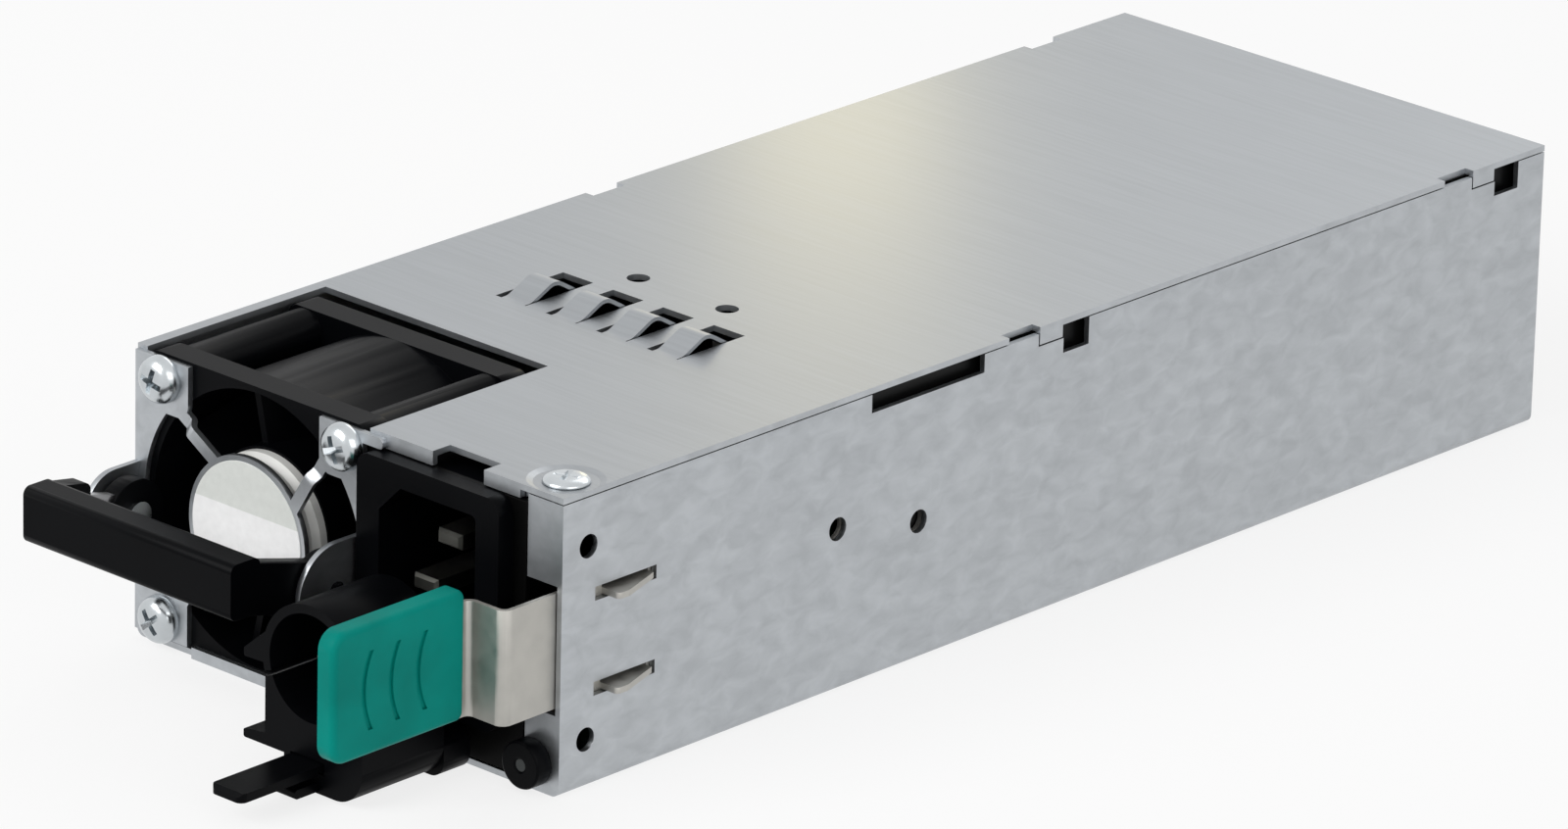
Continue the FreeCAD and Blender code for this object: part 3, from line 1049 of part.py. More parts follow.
def cord_clip():
    """Clip that slides on the strap: a base with half a ring, and a hinged jaw."""
    front, long = size("clip_y"), size("clip_length")
    x, z, outer, skin = size("ring_x"), size("ring_z"), size("ring_radius"), size("ring_wall")
    knuckle, gap = size("knuckle_radius"), size("split_gap")
    hinge, split = size("knuckle_angle"), size("split_angle")
    turn = math.radians(hinge)
    pin_x, pin_z = x + (outer - skin / 2) * math.cos(turn), z + (outer - skin / 2) * math.sin(turn)
    along_y = V(0, 1, 0)
    slack = math.degrees(gap / outer)
    hinge_slack = math.degrees((knuckle + gap) / outer)
    base_ring = ring_sector(split + slack - 360, hinge - slack, front, long)
    left, right = size("clip_left"), size("clip_right")
    low, high, corner = size("clip_bottom"), size("clip_top"), size("clip_corner")
    block = prism([V(left, front, low), V(right, front, low), V(right, front, high),
                   V(left, front, high)], [corner / 6, corner, corner / 3, corner / 6], V(0, long, 0))
    heel, rise, bend = size("heel_length"), size("heel_height"), size("heel_round")
    heel = prism([V(left, front + long, low), V(right, front + long, low),
                  V(right, front + long, low + rise), V(left, front + long, low + rise)],
                 [corner / 6, corner / 2, bend, bend], V(0, heel, 0))
    bore = Part.makeCylinder(outer - skin, long, V(x, front, z), along_y)
    clearance = size("clip_gap")
    channel = Part.makeBox(size("strap_width+2*clip_gap"), size("clip_length+heel_length"),
                           size("strap_steel+2*clip_gap"),
                           V(size("strap_x-strap_width/2") - clearance, front,
                             size("strap_bottom") - clearance))
    sill, shoulder = size("base_fin_z"), z + outer * math.sin(math.radians(split + slack))
    wall = Part.makeBox(size("wall_reach"), long, shoulder - sill,
                        V(x - size("wall_reach"), front, sill))
    fin = clip_fin(sill, left + 1, -0.5, 1)
    lever_x, lever_tip = size("strap_x-lever_width/2"), front - size("lever_length")
    foot, thick = low + size("lever_rise"), size("lever_steel")
    lever = prism([V(lever_x, front + thick, foot), V(lever_x, front + thick, foot + thick),
                   V(lever_x, lever_tip, foot + thick), V(lever_x, lever_tip, foot)],
                  [0, 0, thick / 3, thick / 3], V(size("lever_width"), 0, 0))
    third, play = long / 3, size("knuckle_gap")
    ends = [Part.makeCylinder(knuckle, third - play / 2, V(pin_x, front + start, pin_z), along_y)
            for start in (0, 2 * third + play / 2)]
    jaw_room = Part.makeCylinder(knuckle + gap, third + play,
                                 V(pin_x, front + third - play / 2, pin_z), along_y)
    pin = Part.makeCylinder(size("knuckle_pin"), long, V(pin_x, front, pin_z), along_y)
    base = base_ring.fuse([block, heel, wall]).cut(bore).fuse([fin, lever] + ends)
    base = base.cut(channel).cut(jaw_room).cut(pin)
    keep("clip_base", shaped("clip_base_shape", base.removeSplitter()))

    arch = ring_sector(hinge + hinge_slack, split - slack, front, long)
    root = ring_sector(hinge, hinge + hinge_slack + 1, front + third + play / 2, third - play)
    jaw_knuckle = Part.makeCylinder(knuckle, third - play, V(pin_x, front + third + play / 2, pin_z),
                                    along_y)
    fin = clip_fin(size("jaw_fin_z"), x - outer + skin / 2, -0.4, 2.4)
    bore = Part.makeCylinder(outer - skin, 3 * long, V(x, front - long, z), along_y)
    running = Part.makeCylinder(size("knuckle_pin+pin_gap"), long, V(pin_x, front, pin_z), along_y)
    jaw = arch.fuse([root, jaw_knuckle, fin]).cut(bore).cut(running)
    keep("clip_jaw", shaped("clip_jaw_shape", jaw.removeSplitter()))
    keep("clip_pin", shaped("clip_pin_shape", pin.copy()))


def board_corners():
    """Where the board's four standoffs stand."""
    return [("%d*(half-board_margin-standoff_inset_x)" % side, end)
            for side in (-1, 1) for end in ("board_front+standoff_front", "back-standoff_back")]


def main_board():
    """Main board with its card edge, contacts, insulating sheet, standoffs and screws."""
    body = doc.addObject("PartDesign::Body", "board_body")
    drawing = sketch(body, "board_plan", "top", "board_bottom")
    rectangle(drawing, "-half+board_margin", "board_front", "width-2*board_margin",
              "back-steel-board_back_gap-board_front")
    pad(body, "board_plate", drawing, "board_thick")
    drawing = sketch(body, "card_plan", "top", "board_bottom")
    rectangle(drawing, "-card_width/2", "back-steel-board_back_gap-card_root", "card_width",
              "card_reach+steel+board_back_gap+card_root")
    pad(body, "card_edge", drawing, "board_thick")
    drawing = sketch(body, "board_holes", "top", "board_top")
    for x, y in board_corners():
        circle(drawing, x, y, "board_screw_radius")
    pocket(body, "board_drillings", drawing, "2*board_thick")
    keep("main_board", body)

    pads = []
    count = int(size("contact_count"))
    for i in range(count):
        for level in ("board_top", "board_bottom-contact_steel"):
            pads.append(box("contact", "(%d+0.5)*card_width/contact_count-card_width/2-contact_width/2"
                            % i, "back+card_reach-contact_length-contact_inset", level,
                            "contact_width",
                            "contact_length", "contact_steel"))
    group("edge_contacts", pads)

    floor = box("sheet_floor", "-half+steel+sheet_gap", "board_front", "steel+sheet_gap",
                "width-2*steel-2*sheet_gap-leaf_gap-leaf_steel", "back-steel-sheet_gap-board_front",
                "sheet_steel")
    wall = box("sheet_wall", "leaf_x-sheet_gap-sheet_steel", "leaf_root_at+sheet_start",
               "steel+sheet_gap", "sheet_steel", "back-steel-sheet_gap-leaf_root_at-sheet_start",
               "wall_top-steel-2*sheet_gap")
    holes = [rod("sheet_hole", "z", x, y, "0", "standoff_radius+sheet_gap", "board_bottom")
             for x, y in board_corners()]
    keep("insulator_sheet", cut("sheet_cut", fuse("sheet_blank", [floor, wall]), holes))

    posts, screws = [], []
    for x, y in board_corners():
        post = hexagon("standoff", "z", x, y, "steel", "standoff_radius", "board_bottom-steel")
        bore = rod("standoff_bore", "z", x, y, "steel+standoff_floor", "board_screw_radius",
                   "board_bottom")
        posts.append(cut("standoff_cut", post, [bore]))
        screws.append(screw(V(size(x), size(y), size("board_top")), size("board_screw_head_radius"),
                            size("board_screw_head"), size("board_screw_radius"),
                            size("board_thick+board_screw_grip")))
    group("standoffs", posts)
    keep("board_screws", shaped("board_screws_shape", Part.makeCompound(screws)))


def can(name, x, y, radius, tall):
    """A capacitor can with a rolled edge round its top, standing on the board."""
    r, h, z = size(radius), size(tall), size("board_top")
    edge = r * 0.08
    points = [V(0, 0, 0), V(r, 0, 0), V(r, 0, h - edge), V(r - edge, 0, h), V(0, 0, h), V(0, 0, 0)]
    solid = Part.Face(Part.makePolygon(points)).revolve(V(), V(0, 0, 1), 360)
    solid.translate(V(size(x), size(y), z))
    return shaped(name, solid)


def board_parts():
    """What stands on the main board, from the mains end to the card edge."""
    filters = [box("film_block", "-half+board_margin+filter_inset+%d*(filter_width+filter_gap)" % i,
                   "board_front+filter_set_back", "board_top", "filter_width", "filter_depth",
                   "filter_height") for i in range(2)]
    group("film_capacitors", filters)

    chokes = []
    ring, wire = size("choke_radius"), size("choke_wire")
    y = size("board_front+filter_depth+choke_radius+choke_wire+choke_gap")
    z = size("board_top+choke_radius+choke_wire")
    section = [V(ring + wire * math.cos(a * math.pi / 3), wire * math.sin(a * math.pi / 3), 0)
               for a in range(6)]
    for side in (-1, 1):
        core = Part.Face(Part.makePolygon(section + section[:1])).revolve(V(), V(0, 1, 0), 360)
        core.translate(V(side * size("choke_pitch") / 2, y, z))
        chokes.append(core)
    keep("line_chokes", shaped("line_chokes_shape", Part.makeCompound(chokes)))

    fuse_body = rod("fuse_tube", "x",
                    "-half+board_margin+filter_inset+2*filter_width+filter_gap+fuse_gap",
                    "board_front+filter_set_back+filter_depth/2", "board_top+fuse_radius",
                    "fuse_radius", "fuse_length")
    keep("mains_fuse", fuse_body)

    cans = [can("bulk_can", "-half+board_margin+bulk_radius+bulk_inset",
                "bulk_at+%d*bulk_pitch" % i, "bulk_radius", "bulk_height") for i in range(2)]
    group("bulk_capacitors", cans)

    heat_sinks()
    transformer()
    cans = []
    for i in range(int(size("output_count"))):
        cans.append(can("output_can", "(%d-(output_count-1)/2)*output_pitch" % i, "output_at",
                        "output_radius", "output_height"))
    group("output_capacitors", cans)
    keep("control_card", box("control_plate", "daughter_x", "daughter_at", "board_top",
                             "daughter_steel", "daughter_length", "daughter_height"))


def heat_sinks():
    """Two finned heat sinks and the power devices clamped to them."""
    y, long, z = size("sink_front"), size("sink_length"), size("board_top")
    base, tall = size("sink_base"), size("sink_height")
    fin, reach, count = size("sink_fin"), size("fin_reach"), int(size("fin_count"))
    shapes = []
    for x in (size("sink_x"), size("sink_x-sink_pitch")):
        points = [V(x, y, z), V(x + base, y, z)]
        step = (tall - fin) / (count - 1)
        for i in range(count):
            level = z + i * step
            points += [V(x + base, y, level), V(x + base + reach, y, level),
                       V(x + base + reach, y, level + fin), V(x + base, y, level + fin)]
        points += [V(x, y, z + tall)]
        clean = [p for i, p in enumerate(points) if i == 0 or (p - points[i - 1]).Length > 1e-6]
        solid = Part.Face(Part.makePolygon(clean + [clean[0]])).extrude(V(0, long, 0))
        shapes.append(solid)
    keep("heat_sinks", shaped("heat_sinks_shape", Part.makeCompound(shapes)))
    devices = []
    for x in ("sink_x-device_depth", "sink_x-sink_pitch-device_depth"):
        for i in range(int(size("device_count"))):
            devices.append(box("device", x, "sink_front+device_start+%d*device_pitch" % i,
                               "board_top+device_lift", "device_depth", "device_width",
                               "device_height"))
    group("power_devices", devices)


def transformer():
    """Ferrite core around a wound bobbin."""
    x, y, z = size("core_x"), size("core_at"), size("board_top")
    side, deep, tall, leg = (size(t) for t in ("core_side", "core_depth", "core_height", "core_leg"))
    core = Part.makeBox(side, deep, tall, V(x - side / 2, y - deep / 2, z))
    window = Part.makeBox(side - 2 * leg, deep, tall - 2 * leg,
                          V(x - side / 2 + leg, y - deep / 2, z + leg))
    post_radius = size("core_post_radius")
    post = Part.makeCylinder(post_radius, tall, V(x, y, z))
    keep("transformer_core", shaped("transformer_core_shape", core.cut(window).fuse(post)))
    gap = size("winding_gap")
    radius = size("winding_round")
    coil = Part.makeCylinder(radius, tall - 2 * leg - 2 * gap, V(x, y, z + leg + gap))
    coil = coil.cut(Part.makeCylinder(post_radius + size("winding_play"), tall, V(x, y, z)))
    keep("transformer_coil", shaped("transformer_coil_shape", coil))


base_tray()
top_cover()
cover_screw()
fan_frame()
fan_rotor()
fan_motor()
fan_guard()
fan_screws()
handle()
front_panel()
inlet()
status_light()
latch()
cord_strap()
cord_clip()
main_board()
board_parts()
doc.recompute()

for obj in doc.Objects:
    if "Invalid" in obj.State or "Error" in obj.State:
        raise RuntimeError("%s failed: %s" % (obj.Label, obj.State))
for name, obj in nodes.items():
    if obj.Shape.isNull() or not obj.Shape.isValid() or not obj.Shape.Solids:
        raise RuntimeError("%s has no valid solid" % name)
os.makedirs("parts", exist_ok=True)
for name, obj in nodes.items():
    obj.Shape.exportStep("parts/%s.step" % name)
    print("%-20s %2d solids %10.1f mm3" % (name, len(obj.Shape.Solids), obj.Shape.Volume))
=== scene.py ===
import json
import math

import bpy
from mathutils import Matrix, Vector


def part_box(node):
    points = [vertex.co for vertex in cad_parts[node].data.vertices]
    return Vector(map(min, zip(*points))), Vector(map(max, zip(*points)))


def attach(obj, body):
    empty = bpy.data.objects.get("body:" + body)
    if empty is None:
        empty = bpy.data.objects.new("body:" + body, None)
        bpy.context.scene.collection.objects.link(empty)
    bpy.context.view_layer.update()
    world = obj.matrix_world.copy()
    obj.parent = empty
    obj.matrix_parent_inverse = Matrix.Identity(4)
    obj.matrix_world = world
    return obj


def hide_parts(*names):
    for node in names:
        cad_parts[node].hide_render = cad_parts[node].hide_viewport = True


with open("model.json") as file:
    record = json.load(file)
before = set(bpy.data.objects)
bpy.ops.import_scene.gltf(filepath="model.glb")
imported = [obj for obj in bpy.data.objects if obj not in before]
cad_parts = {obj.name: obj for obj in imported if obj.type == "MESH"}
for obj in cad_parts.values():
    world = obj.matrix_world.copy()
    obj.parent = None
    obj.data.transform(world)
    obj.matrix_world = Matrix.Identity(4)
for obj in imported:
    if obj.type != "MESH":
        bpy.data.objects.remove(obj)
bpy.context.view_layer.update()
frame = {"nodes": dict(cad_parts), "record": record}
NODES = frame["nodes"]
MM = 0.001
IMAGE_WIDTH = 1600


# Camera, from the photograph's vanishing lines and the case's size

CAMERA = {
    "azimuth": 42.54,
    "elevation": 20.90,
    "roll": 1.43,
    "distance": 1429.2 * MM,
    "aim_right": -9.42 * MM,
    "aim_up": -3.93 * MM,
    "aim_height": 19.5 * MM,
    "focal_px": 11371.6,
}


def direction(azimuth, elevation):
    """The unit vector towards a place seen from the object, counted as the views are."""
    a, e = math.radians(azimuth), math.radians(elevation)
    return Vector((math.sin(a) * math.cos(e), -math.cos(a) * math.cos(e), math.sin(e)))


def add_camera():
    """The photograph's view, with its small roll and its long lens."""
    roll = math.radians(CAMERA["roll"])
    back = direction(CAMERA["azimuth"], CAMERA["elevation"])
    right = (-back).cross(Vector((0, 0, 1))).normalized()
    up = right.cross(-back)
    level_right = right * math.cos(roll) + up * math.sin(roll)
    level_up = -right * math.sin(roll) + up * math.cos(roll)
    target = Vector((0, 0, CAMERA["aim_height"]))
    target += level_right * CAMERA["aim_right"] + level_up * CAMERA["aim_up"]
    data = bpy.data.cameras.new("photo_camera")
    data.sensor_width = 36
    data.lens = data.sensor_width * CAMERA["focal_px"] / IMAGE_WIDTH
    data.clip_start, data.clip_end = 0.05, 50
    camera = bpy.data.objects.new("photo_camera", data)
    bpy.context.collection.objects.link(camera)
    turn = Matrix((level_right, level_up, back)).transposed().to_4x4()
    camera.matrix_world = Matrix.Translation(target + back * CAMERA["distance"]) @ turn
    bpy.context.scene.camera = camera


# Materials

# A colour mix node's sockets, which share their names with its other kinds of mix
MIX_FACTOR, MIX_A, MIX_B, MIX_RESULT = 0, 6, 7, 2


class Surface:
    """A material under construction: a principled shader and helpers that feed it."""

    def __init__(self, name, colour, metallic=0.0, roughness=0.5, specular=0.5):
        self.material = bpy.data.materials.new(name)
        self.material.use_nodes = True
        self.tree = self.material.node_tree
        self.shader = self.tree.nodes["Principled BSDF"]
        self.shader.inputs["Base Color"].default_value = (*colour, 1)
        self.shader.inputs["Metallic"].default_value = metallic
        self.shader.inputs["Roughness"].default_value = roughness
        self.shader.inputs["Specular IOR Level"].default_value = specular
        self.colour = colour

    def node(self, kind, **values):
        """A node with some of its sockets, or of its settings, set by name."""
        made = self.tree.nodes.new(kind)
        for key, value in values.items():
            if key in made.inputs:
                made.inputs[key].default_value = value
            else:
                setattr(made, key, value)
        return made

    def join(self, source, output, target, entry):
        """A link from a node's output to another's input."""
        self.tree.links.new(source.outputs[output], target.inputs[entry])

    def pattern(self, kind, scale, stretch=(1, 1, 1), **values):
        """A procedural texture over the object's own coordinates."""
        place = self.node("ShaderNodeTexCoord")
        mapping = self.node("ShaderNodeMapping")
        mapping.inputs["Scale"].default_value = stretch
        self.join(place, "Object", mapping, "Vector")
        texture = self.node(kind, Scale=scale, **values)
        self.join(mapping, "Vector", texture, "Vector")
        return texture

    def ramp(self, texture, output, stops):
        """Colours by an output, from pairs of position and colour."""
        ramp = self.node("ShaderNodeValToRGB")
        while len(ramp.color_ramp.elements) < len(stops):
            ramp.color_ramp.elements.new(0.5)
        for element, (at, colour) in zip(ramp.color_ramp.elements, stops):
            element.position = at
            element.color = (*colour, 1)
        self.join(texture, output, ramp, "Fac")
        return ramp

    def paint(self, source, output="Color"):
        """Takes the base colour from a node's output."""
        self.join(source, output, self.shader, "Base Color")

    def shades(self, texture, output, low, high, start=0.3, end=0.7):
        """A ramp between two brightness factors of the base colour."""
        dark = [min(1, c * low) for c in self.colour]
        light = [min(1, c * high) for c in self.colour]
        return self.ramp(texture, output, [(start, dark), (end, light)])

    def mix(self, factor, factor_output, first, second):
        """A blend of two colour nodes by the output of a third."""
        mix = self.node("ShaderNodeMix", data_type="RGBA")
        self.join(factor, factor_output, mix, MIX_FACTOR)
        self.join(first, "Color", mix, MIX_A)
        self.join(second, "Color", mix, MIX_B)
        return mix

    def span(self, source, output, low, high, start=0.0, end=1.0):
        """A number between low and high, for an output between start and end."""
        span = self.node("ShaderNodeMapRange")
        span.inputs["From Min"].default_value = start
        span.inputs["From Max"].default_value = end
        span.inputs["To Min"].default_value = low
        span.inputs["To Max"].default_value = high
        self.join(source, output, span, "Value")
        return span

    def gloss(self, texture, output, low, high):
        """Roughness between low and high, by a texture."""
        self.join(self.span(texture, output, low, high), "Result", self.shader, "Roughness")

    def bump(self, texture, output, height, strength):
        """A fine relief of the given height, by a texture."""
        bump = self.node("ShaderNodeBump", Distance=height, Strength=strength)
        self.join(texture, output, bump, "Height")
        self.join(bump, "Normal", self.shader, "Normal")

    def upward(self):
        """How far a surface faces up: 1 on a lid, 0 on a wall."""
        split = self.node("ShaderNodeSeparateXYZ")
        self.join(self.node("ShaderNodeNewGeometry"), "Normal", split, "Vector")
        return self.span(split, "Z", 0, 1, start=0.5, end=0.9)


def sheet_metal(name, colour, roughness):
    """Zinc coated sheet: a soft zinc mottle on its walls, fine rolling lines on its lid, and
    painted light and shade that make the walls brighter and the lid darker by which way they
    face.
    """
    made = Surface(name, colour, metallic=1.0, roughness=roughness)
    mottle = made.pattern("ShaderNodeTexNoise", 420, stretch=(1, 0.6, 1.1),
                          Detail=4, Distortion=0.5)
    # Painted light: the walls take a brighter share of the base colour than the lid, by which way
    # they face
    walls = made.shades(mottle, "Fac", 0.95, 1.15)
    lines = made.pattern("ShaderNodeTexNoise", 1800, stretch=(0.03, 1, 1), Detail=3)
    # Painted shade: the lid is darkened below the base colour, by which way it faces
    lid = made.shades(lines, "Fac", 0.81, 0.89)
    made.paint(made.mix(made.upward(), "Result", walls, lid), MIX_RESULT)
    made.gloss(lines, "Fac", roughness - 0.02, roughness + 0.05)
    made.bump(lines, "Fac", 0.01 * MM, 0.3)
    return made.material


def plated(name, colour, roughness):
    """Plated or bare metal, with a faint cloud over its colour and gloss."""
    made = Surface(name, colour, metallic=1.0, roughness=roughness)
    cloud = made.pattern("ShaderNodeTexNoise", 400, Detail=4)
    made.paint(made.shades(cloud, "Fac", 0.92, 1.04))
    made.gloss(cloud, "Fac", roughness * 0.8, roughness * 1.3)
    return made.material


def plastic(name, colour, roughness, specular=0.5, texture=2600, height=0.02 * MM):
    """Moulded plastic: a fine grain, and a slow cloud over its colour and gloss."""
    made = Surface(name, colour, roughness=roughness, specular=specular)
    grain = made.pattern("ShaderNodeTexNoise", texture, Detail=2)
    cloud = made.pattern("ShaderNodeTexNoise", 90, Detail=3)
    made.paint(made.shades(cloud, "Fac", 0.85, 1.15))
    made.gloss(cloud, "Fac", roughness - 0.04, roughness + 0.06)
    made.bump(grain, "Fac", height, 0.3)
    return made.material


def laminated(name, light, dark):
    """Stacked laminations and windings, as bands along the axis."""
    made = Surface(name, light, metallic=0.6, roughness=0.45)
    bands = made.pattern("ShaderNodeTexWave", 900, bands_direction="Y")
    made.paint(made.ramp(bands, "Fac", [(0.35, dark), (0.65, light)]))
    return made.material


def make_materials():
    """One material for each of the record's slots."""
    return {
        "galvanised": sheet_metal("galvanised", (0.425, 0.445, 0.465), 0.38),
        "black_paint": plastic("black_paint", (0.002, 0.002, 0.002), 0.42, 0.06),
        "bright_steel": plated("bright_steel", (0.55, 0.58, 0.60), 0.22),
        "spring_steel": plated("spring_steel", (0.47, 0.46, 0.43), 0.5),
        "bail_steel": plated("bail_steel", (0.42, 0.42, 0.43), 0.3),
        "black_plastic": plastic("black_plastic", (0.0014, 0.0016, 0.0022), 0.36, 0.05),
        "teal_plastic": plastic("teal_plastic", (0.0002, 0.21, 0.175), 0.45, 0.06),
        # The inlet blades' nickel is given a dark colour as painted shade, for the dark recess
        # they sit in
        "nickel_blades": plated("nickel_blades", (0.22, 0.22, 0.20), 0.3),
        "light_lens": plastic("light_lens", (0.03, 0.035, 0.035), 0.25, 0.3),
        "black_sheet": plastic("black_sheet", (0.004, 0.004, 0.004), 0.35, 0.15),
        "board_green": plastic("board_green", (0.01, 0.09, 0.035), 0.35, 0.3, 800, 0.01 * MM),
        "gold_contacts": plated("gold_contacts", (0.75, 0.52, 0.18), 0.25),
        "brass_posts": plated("brass_posts", (0.60, 0.44, 0.20), 0.3),
        "ferrite": plastic("ferrite", (0.03, 0.03, 0.033), 0.6, 0.3, 1500, 0.04 * MM),
        "core_steel": laminated("core_steel", (0.42, 0.22, 0.12), (0.12, 0.10, 0.09)),
        "film_box": plastic("film_box", (0.50, 0.38, 0.04), 0.35, 0.4),
        "fuse_tube": plastic("fuse_tube", (0.80, 0.80, 0.77), 0.3, 0.4),
        "black_sleeve": plastic("black_sleeve", (0.010, 0.010, 0.014), 0.25, 0.3),
        "sink_aluminium": plated("sink_aluminium", (0.50, 0.51, 0.52), 0.35),
        "coil_tape": plastic("coil_tape", (0.55, 0.38, 0.03), 0.4, 0.4),
    }


# Edge radii in millimetres, for the pieces whose edges catch the light
SOFT_EDGES = {
    "handle_grip": 0.35, "inlet_housing": 0.3, "clip_base": 0.25, "clip_jaw": 0.25,
    "base_tray": 0.2, "front_panel": 0.1, "fan_guard": 0.12,
    "fan_frame": 0.2, "latch_pad": 0.15, "latch_leaf": 0.1, "cord_strap": 0.15,
    "handle_bail": 0.15, "light_bezel": 0.3,
}
WELD_REACH = 0.002 * MM
SHARP_EDGE = math.radians(35)


def soften(node, radius):
    """Small rounds on a node's sharp edges."""
    weld = node.modifiers.new("weld", "WELD")
    weld.merge_threshold = WELD_REACH
    bevel = node.modifiers.new("soft_edges", "BEVEL")
    bevel.width = radius
    bevel.segments = 2
    bevel.limit_method = "ANGLE"
    bevel.angle_limit = SHARP_EDGE
    bevel.harden_normals = True


def dress_frame(materials):
    """Every CAD node takes the material of its slot, and the visible ones soft edges."""
    for entry in frame["record"]["subparts"]:
        node = NODES[entry["node"]]
        node.data.materials.clear()
        node.data.materials.append(materials[entry["material_slot"]])
        if entry["node"] in SOFT_EDGES:
            soften(node, SOFT_EDGES[entry["node"]] * MM)


# Meshes


def loft(rings):
    """Vertices and faces of a closed skin through rings of equally many points."""
    count = len(rings[0])
    vertices = [point for points in rings for point in points]
    faces = []
    for level in range(len(rings) - 1):
        for i in range(count):
            a, b = level * count + i, level * count + (i + 1) % count
            faces.append((a, b, b + count, a + count))
    faces.append(tuple(reversed(range(count))))
    faces.append(tuple(range(len(vertices) - count, len(vertices))))
    return vertices, faces


def ring(radius, height, segments):
    """The points of a level circle."""
    return [(radius * math.cos(2 * math.pi * i / segments),
             radius * math.sin(2 * math.pi * i / segments), height) for i in range(segments)]


def mesh_object(name, vertices, faces, place=Matrix()):
    """A new object of vertices and faces, moved to its place."""
    mesh = bpy.data.meshes.new(name)
    mesh.from_pydata([tuple(place @ Vector(v)) for v in vertices], [], faces)
    made = bpy.data.objects.new(name, mesh)
    bpy.context.collection.objects.link(made)
    return made


def piece(made, material, body):
    """Gives a new piece its material and the body it moves with."""
    made.data.materials.clear()
    made.data.materials.append(material)
    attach(made, body)
    return made


def facing_front(point):
    """A frame whose +Z looks out of the front, towards -Y."""
    return Matrix.Translation(point) @ Matrix.Rotation(math.radians(90), 4, "X")


# Screws

SCREW_SEGMENTS = 48
DOME_STEPS = 12
# Shares of a head's radius
CROSS_REACH, CROSS_HALF_ARM, HEAD_UNDERSIDE, DOME_TIP = 0.60, 0.13, 0.96, 0.05
# Shares of a head's height
CROSS_DEPTH, HEAD_RIM = 0.62, 0.12
# The cross at its bottom and above the head, as shares of its size, and how far
# its cutter stands above the head, as a share of the depth
CROSS_TAPER, CROSS_FLARE, CROSS_OVERSHOOT = 0.45, 1.1, 0.2
# How full the dome is, outwards and upwards
DOME_OUT, DOME_UP = 0.62, 0.9
# The shank's tip, as a share of its radius, and the length of the chamfer to it
SHANK_TIP, SHANK_CHAMFER = 0.7, 0.5 * MM
HEAD_SHARP_EDGE = math.radians(32)


def cross_cutter(radius, top, deep):
    """A cross recess with tapered walls, as the shape that is cut out of a head."""
    reach, half_arm = CROSS_REACH * radius, CROSS_HALF_ARM * radius
    corners = [(reach, half_arm), (half_arm, half_arm), (half_arm, reach)]
    outline = []
    for c, s in ((1, 0), (0, 1), (-1, 0), (0, -1)):
        outline += [(x * c - y * s, x * s + y * c) for x, y in corners]
    low = [(x * CROSS_TAPER, y * CROSS_TAPER, top - deep) for x, y in outline]
    above = top + CROSS_OVERSHOOT * deep
    high = [(x * CROSS_FLARE, y * CROSS_FLARE, above) for x, y in outline]
    return loft([low, high])


def screw_profile(head, shank):
    """Rings of a plain screw with a domed head, from its tip to the top of the dome."""
    radius, height = head
    shank_radius, length = shank
    sizes = [(shank_radius * SHANK_TIP, -length), (shank_radius, SHANK_CHAMFER - length),
             (shank_radius, 0), (radius * HEAD_UNDERSIDE, 0)]
    for step in range(DOME_STEPS + 1):
        a = math.pi / 2 * step / DOME_STEPS
        out = math.cos(a) ** DOME_OUT if step < DOME_STEPS else DOME_TIP
        up = HEAD_RIM + (1 - HEAD_RIM) * math.sin(a) ** DOME_UP
        sizes.append((radius * out, height * up))
    return [ring(size, level, SCREW_SEGMENTS) for size, level in sizes]


def add_screw(name, place, head, shank, material, body, turn):
    """A domed screw with a cross recess. Its head's underside is at the place, +Z out."""
    radius, height = head
    made = mesh_object(name, *loft(screw_profile(head, shank)))
    cutter = mesh_object(name + "_cutter", *cross_cutter(radius, height, CROSS_DEPTH * height))
    cutter.rotation_euler.z = math.radians(turn)
    cut = made.modifiers.new("recess", "BOOLEAN")
    cut.operation, cut.solver, cut.object = "DIFFERENCE", "EXACT", cutter
    bpy.context.view_layer.update()
    graph = bpy.context.evaluated_depsgraph_get()
    mesh = bpy.data.meshes.new_from_object(made.evaluated_get(graph))
    bpy.data.objects.remove(made)
    bpy.data.objects.remove(cutter)
    mesh.transform(place)
    mesh.shade_smooth()
    mesh.set_sharp_from_angle(angle=HEAD_SHARP_EDGE)
    made = bpy.data.objects.new(name, mesh)
    bpy.context.collection.objects.link(made)
    return piece(made, material, body)


def centre_of(node):
    """The middle of a node's box."""
    low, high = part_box(node)
    return [(a + b) / 2 for a, b in zip(low, high)]


def add_screws(materials):
    """The fan's four screws and the cover's, where the frame has them."""
    radius, head, shank = 3.15 * MM, 2.3 * MM, 1.9 * MM
    low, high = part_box("fan_screws")
    under = low[1] + head
    turns = iter((38, 12, 75, 20))
    for row, z in enumerate((low[2] + radius, high[2] - radius)):
        for column, x in enumerate((low[0] + radius, high[0] - radius)):
            made = add_screw("fan_screw_%d" % (2 * row + column + 1), facing_front((x, under, z)),
                             (radius, head), (shank, high[1] - under),
                             materials["bright_steel"], "case", next(turns))
            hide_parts("fan_screws")
    head, shank, turn = 0.9 * MM, 1.4 * MM, 25
    low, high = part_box("cover_screw")
    x, y, _ = centre_of("cover_screw")
    under = high[2] - head
    made = add_screw("lid_screw", Matrix.Translation((x, y, under)),
                     ((high[0] - low[0]) / 2, head), (shank, under - low[2]),
                     materials["bright_steel"], "case", turn)
    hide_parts("cover_screw")


# Label and hub face

DISC_SEGMENTS = 96
# The upright part of a disc's rim, as a share of its thickness
DISC_RIM = 0.6
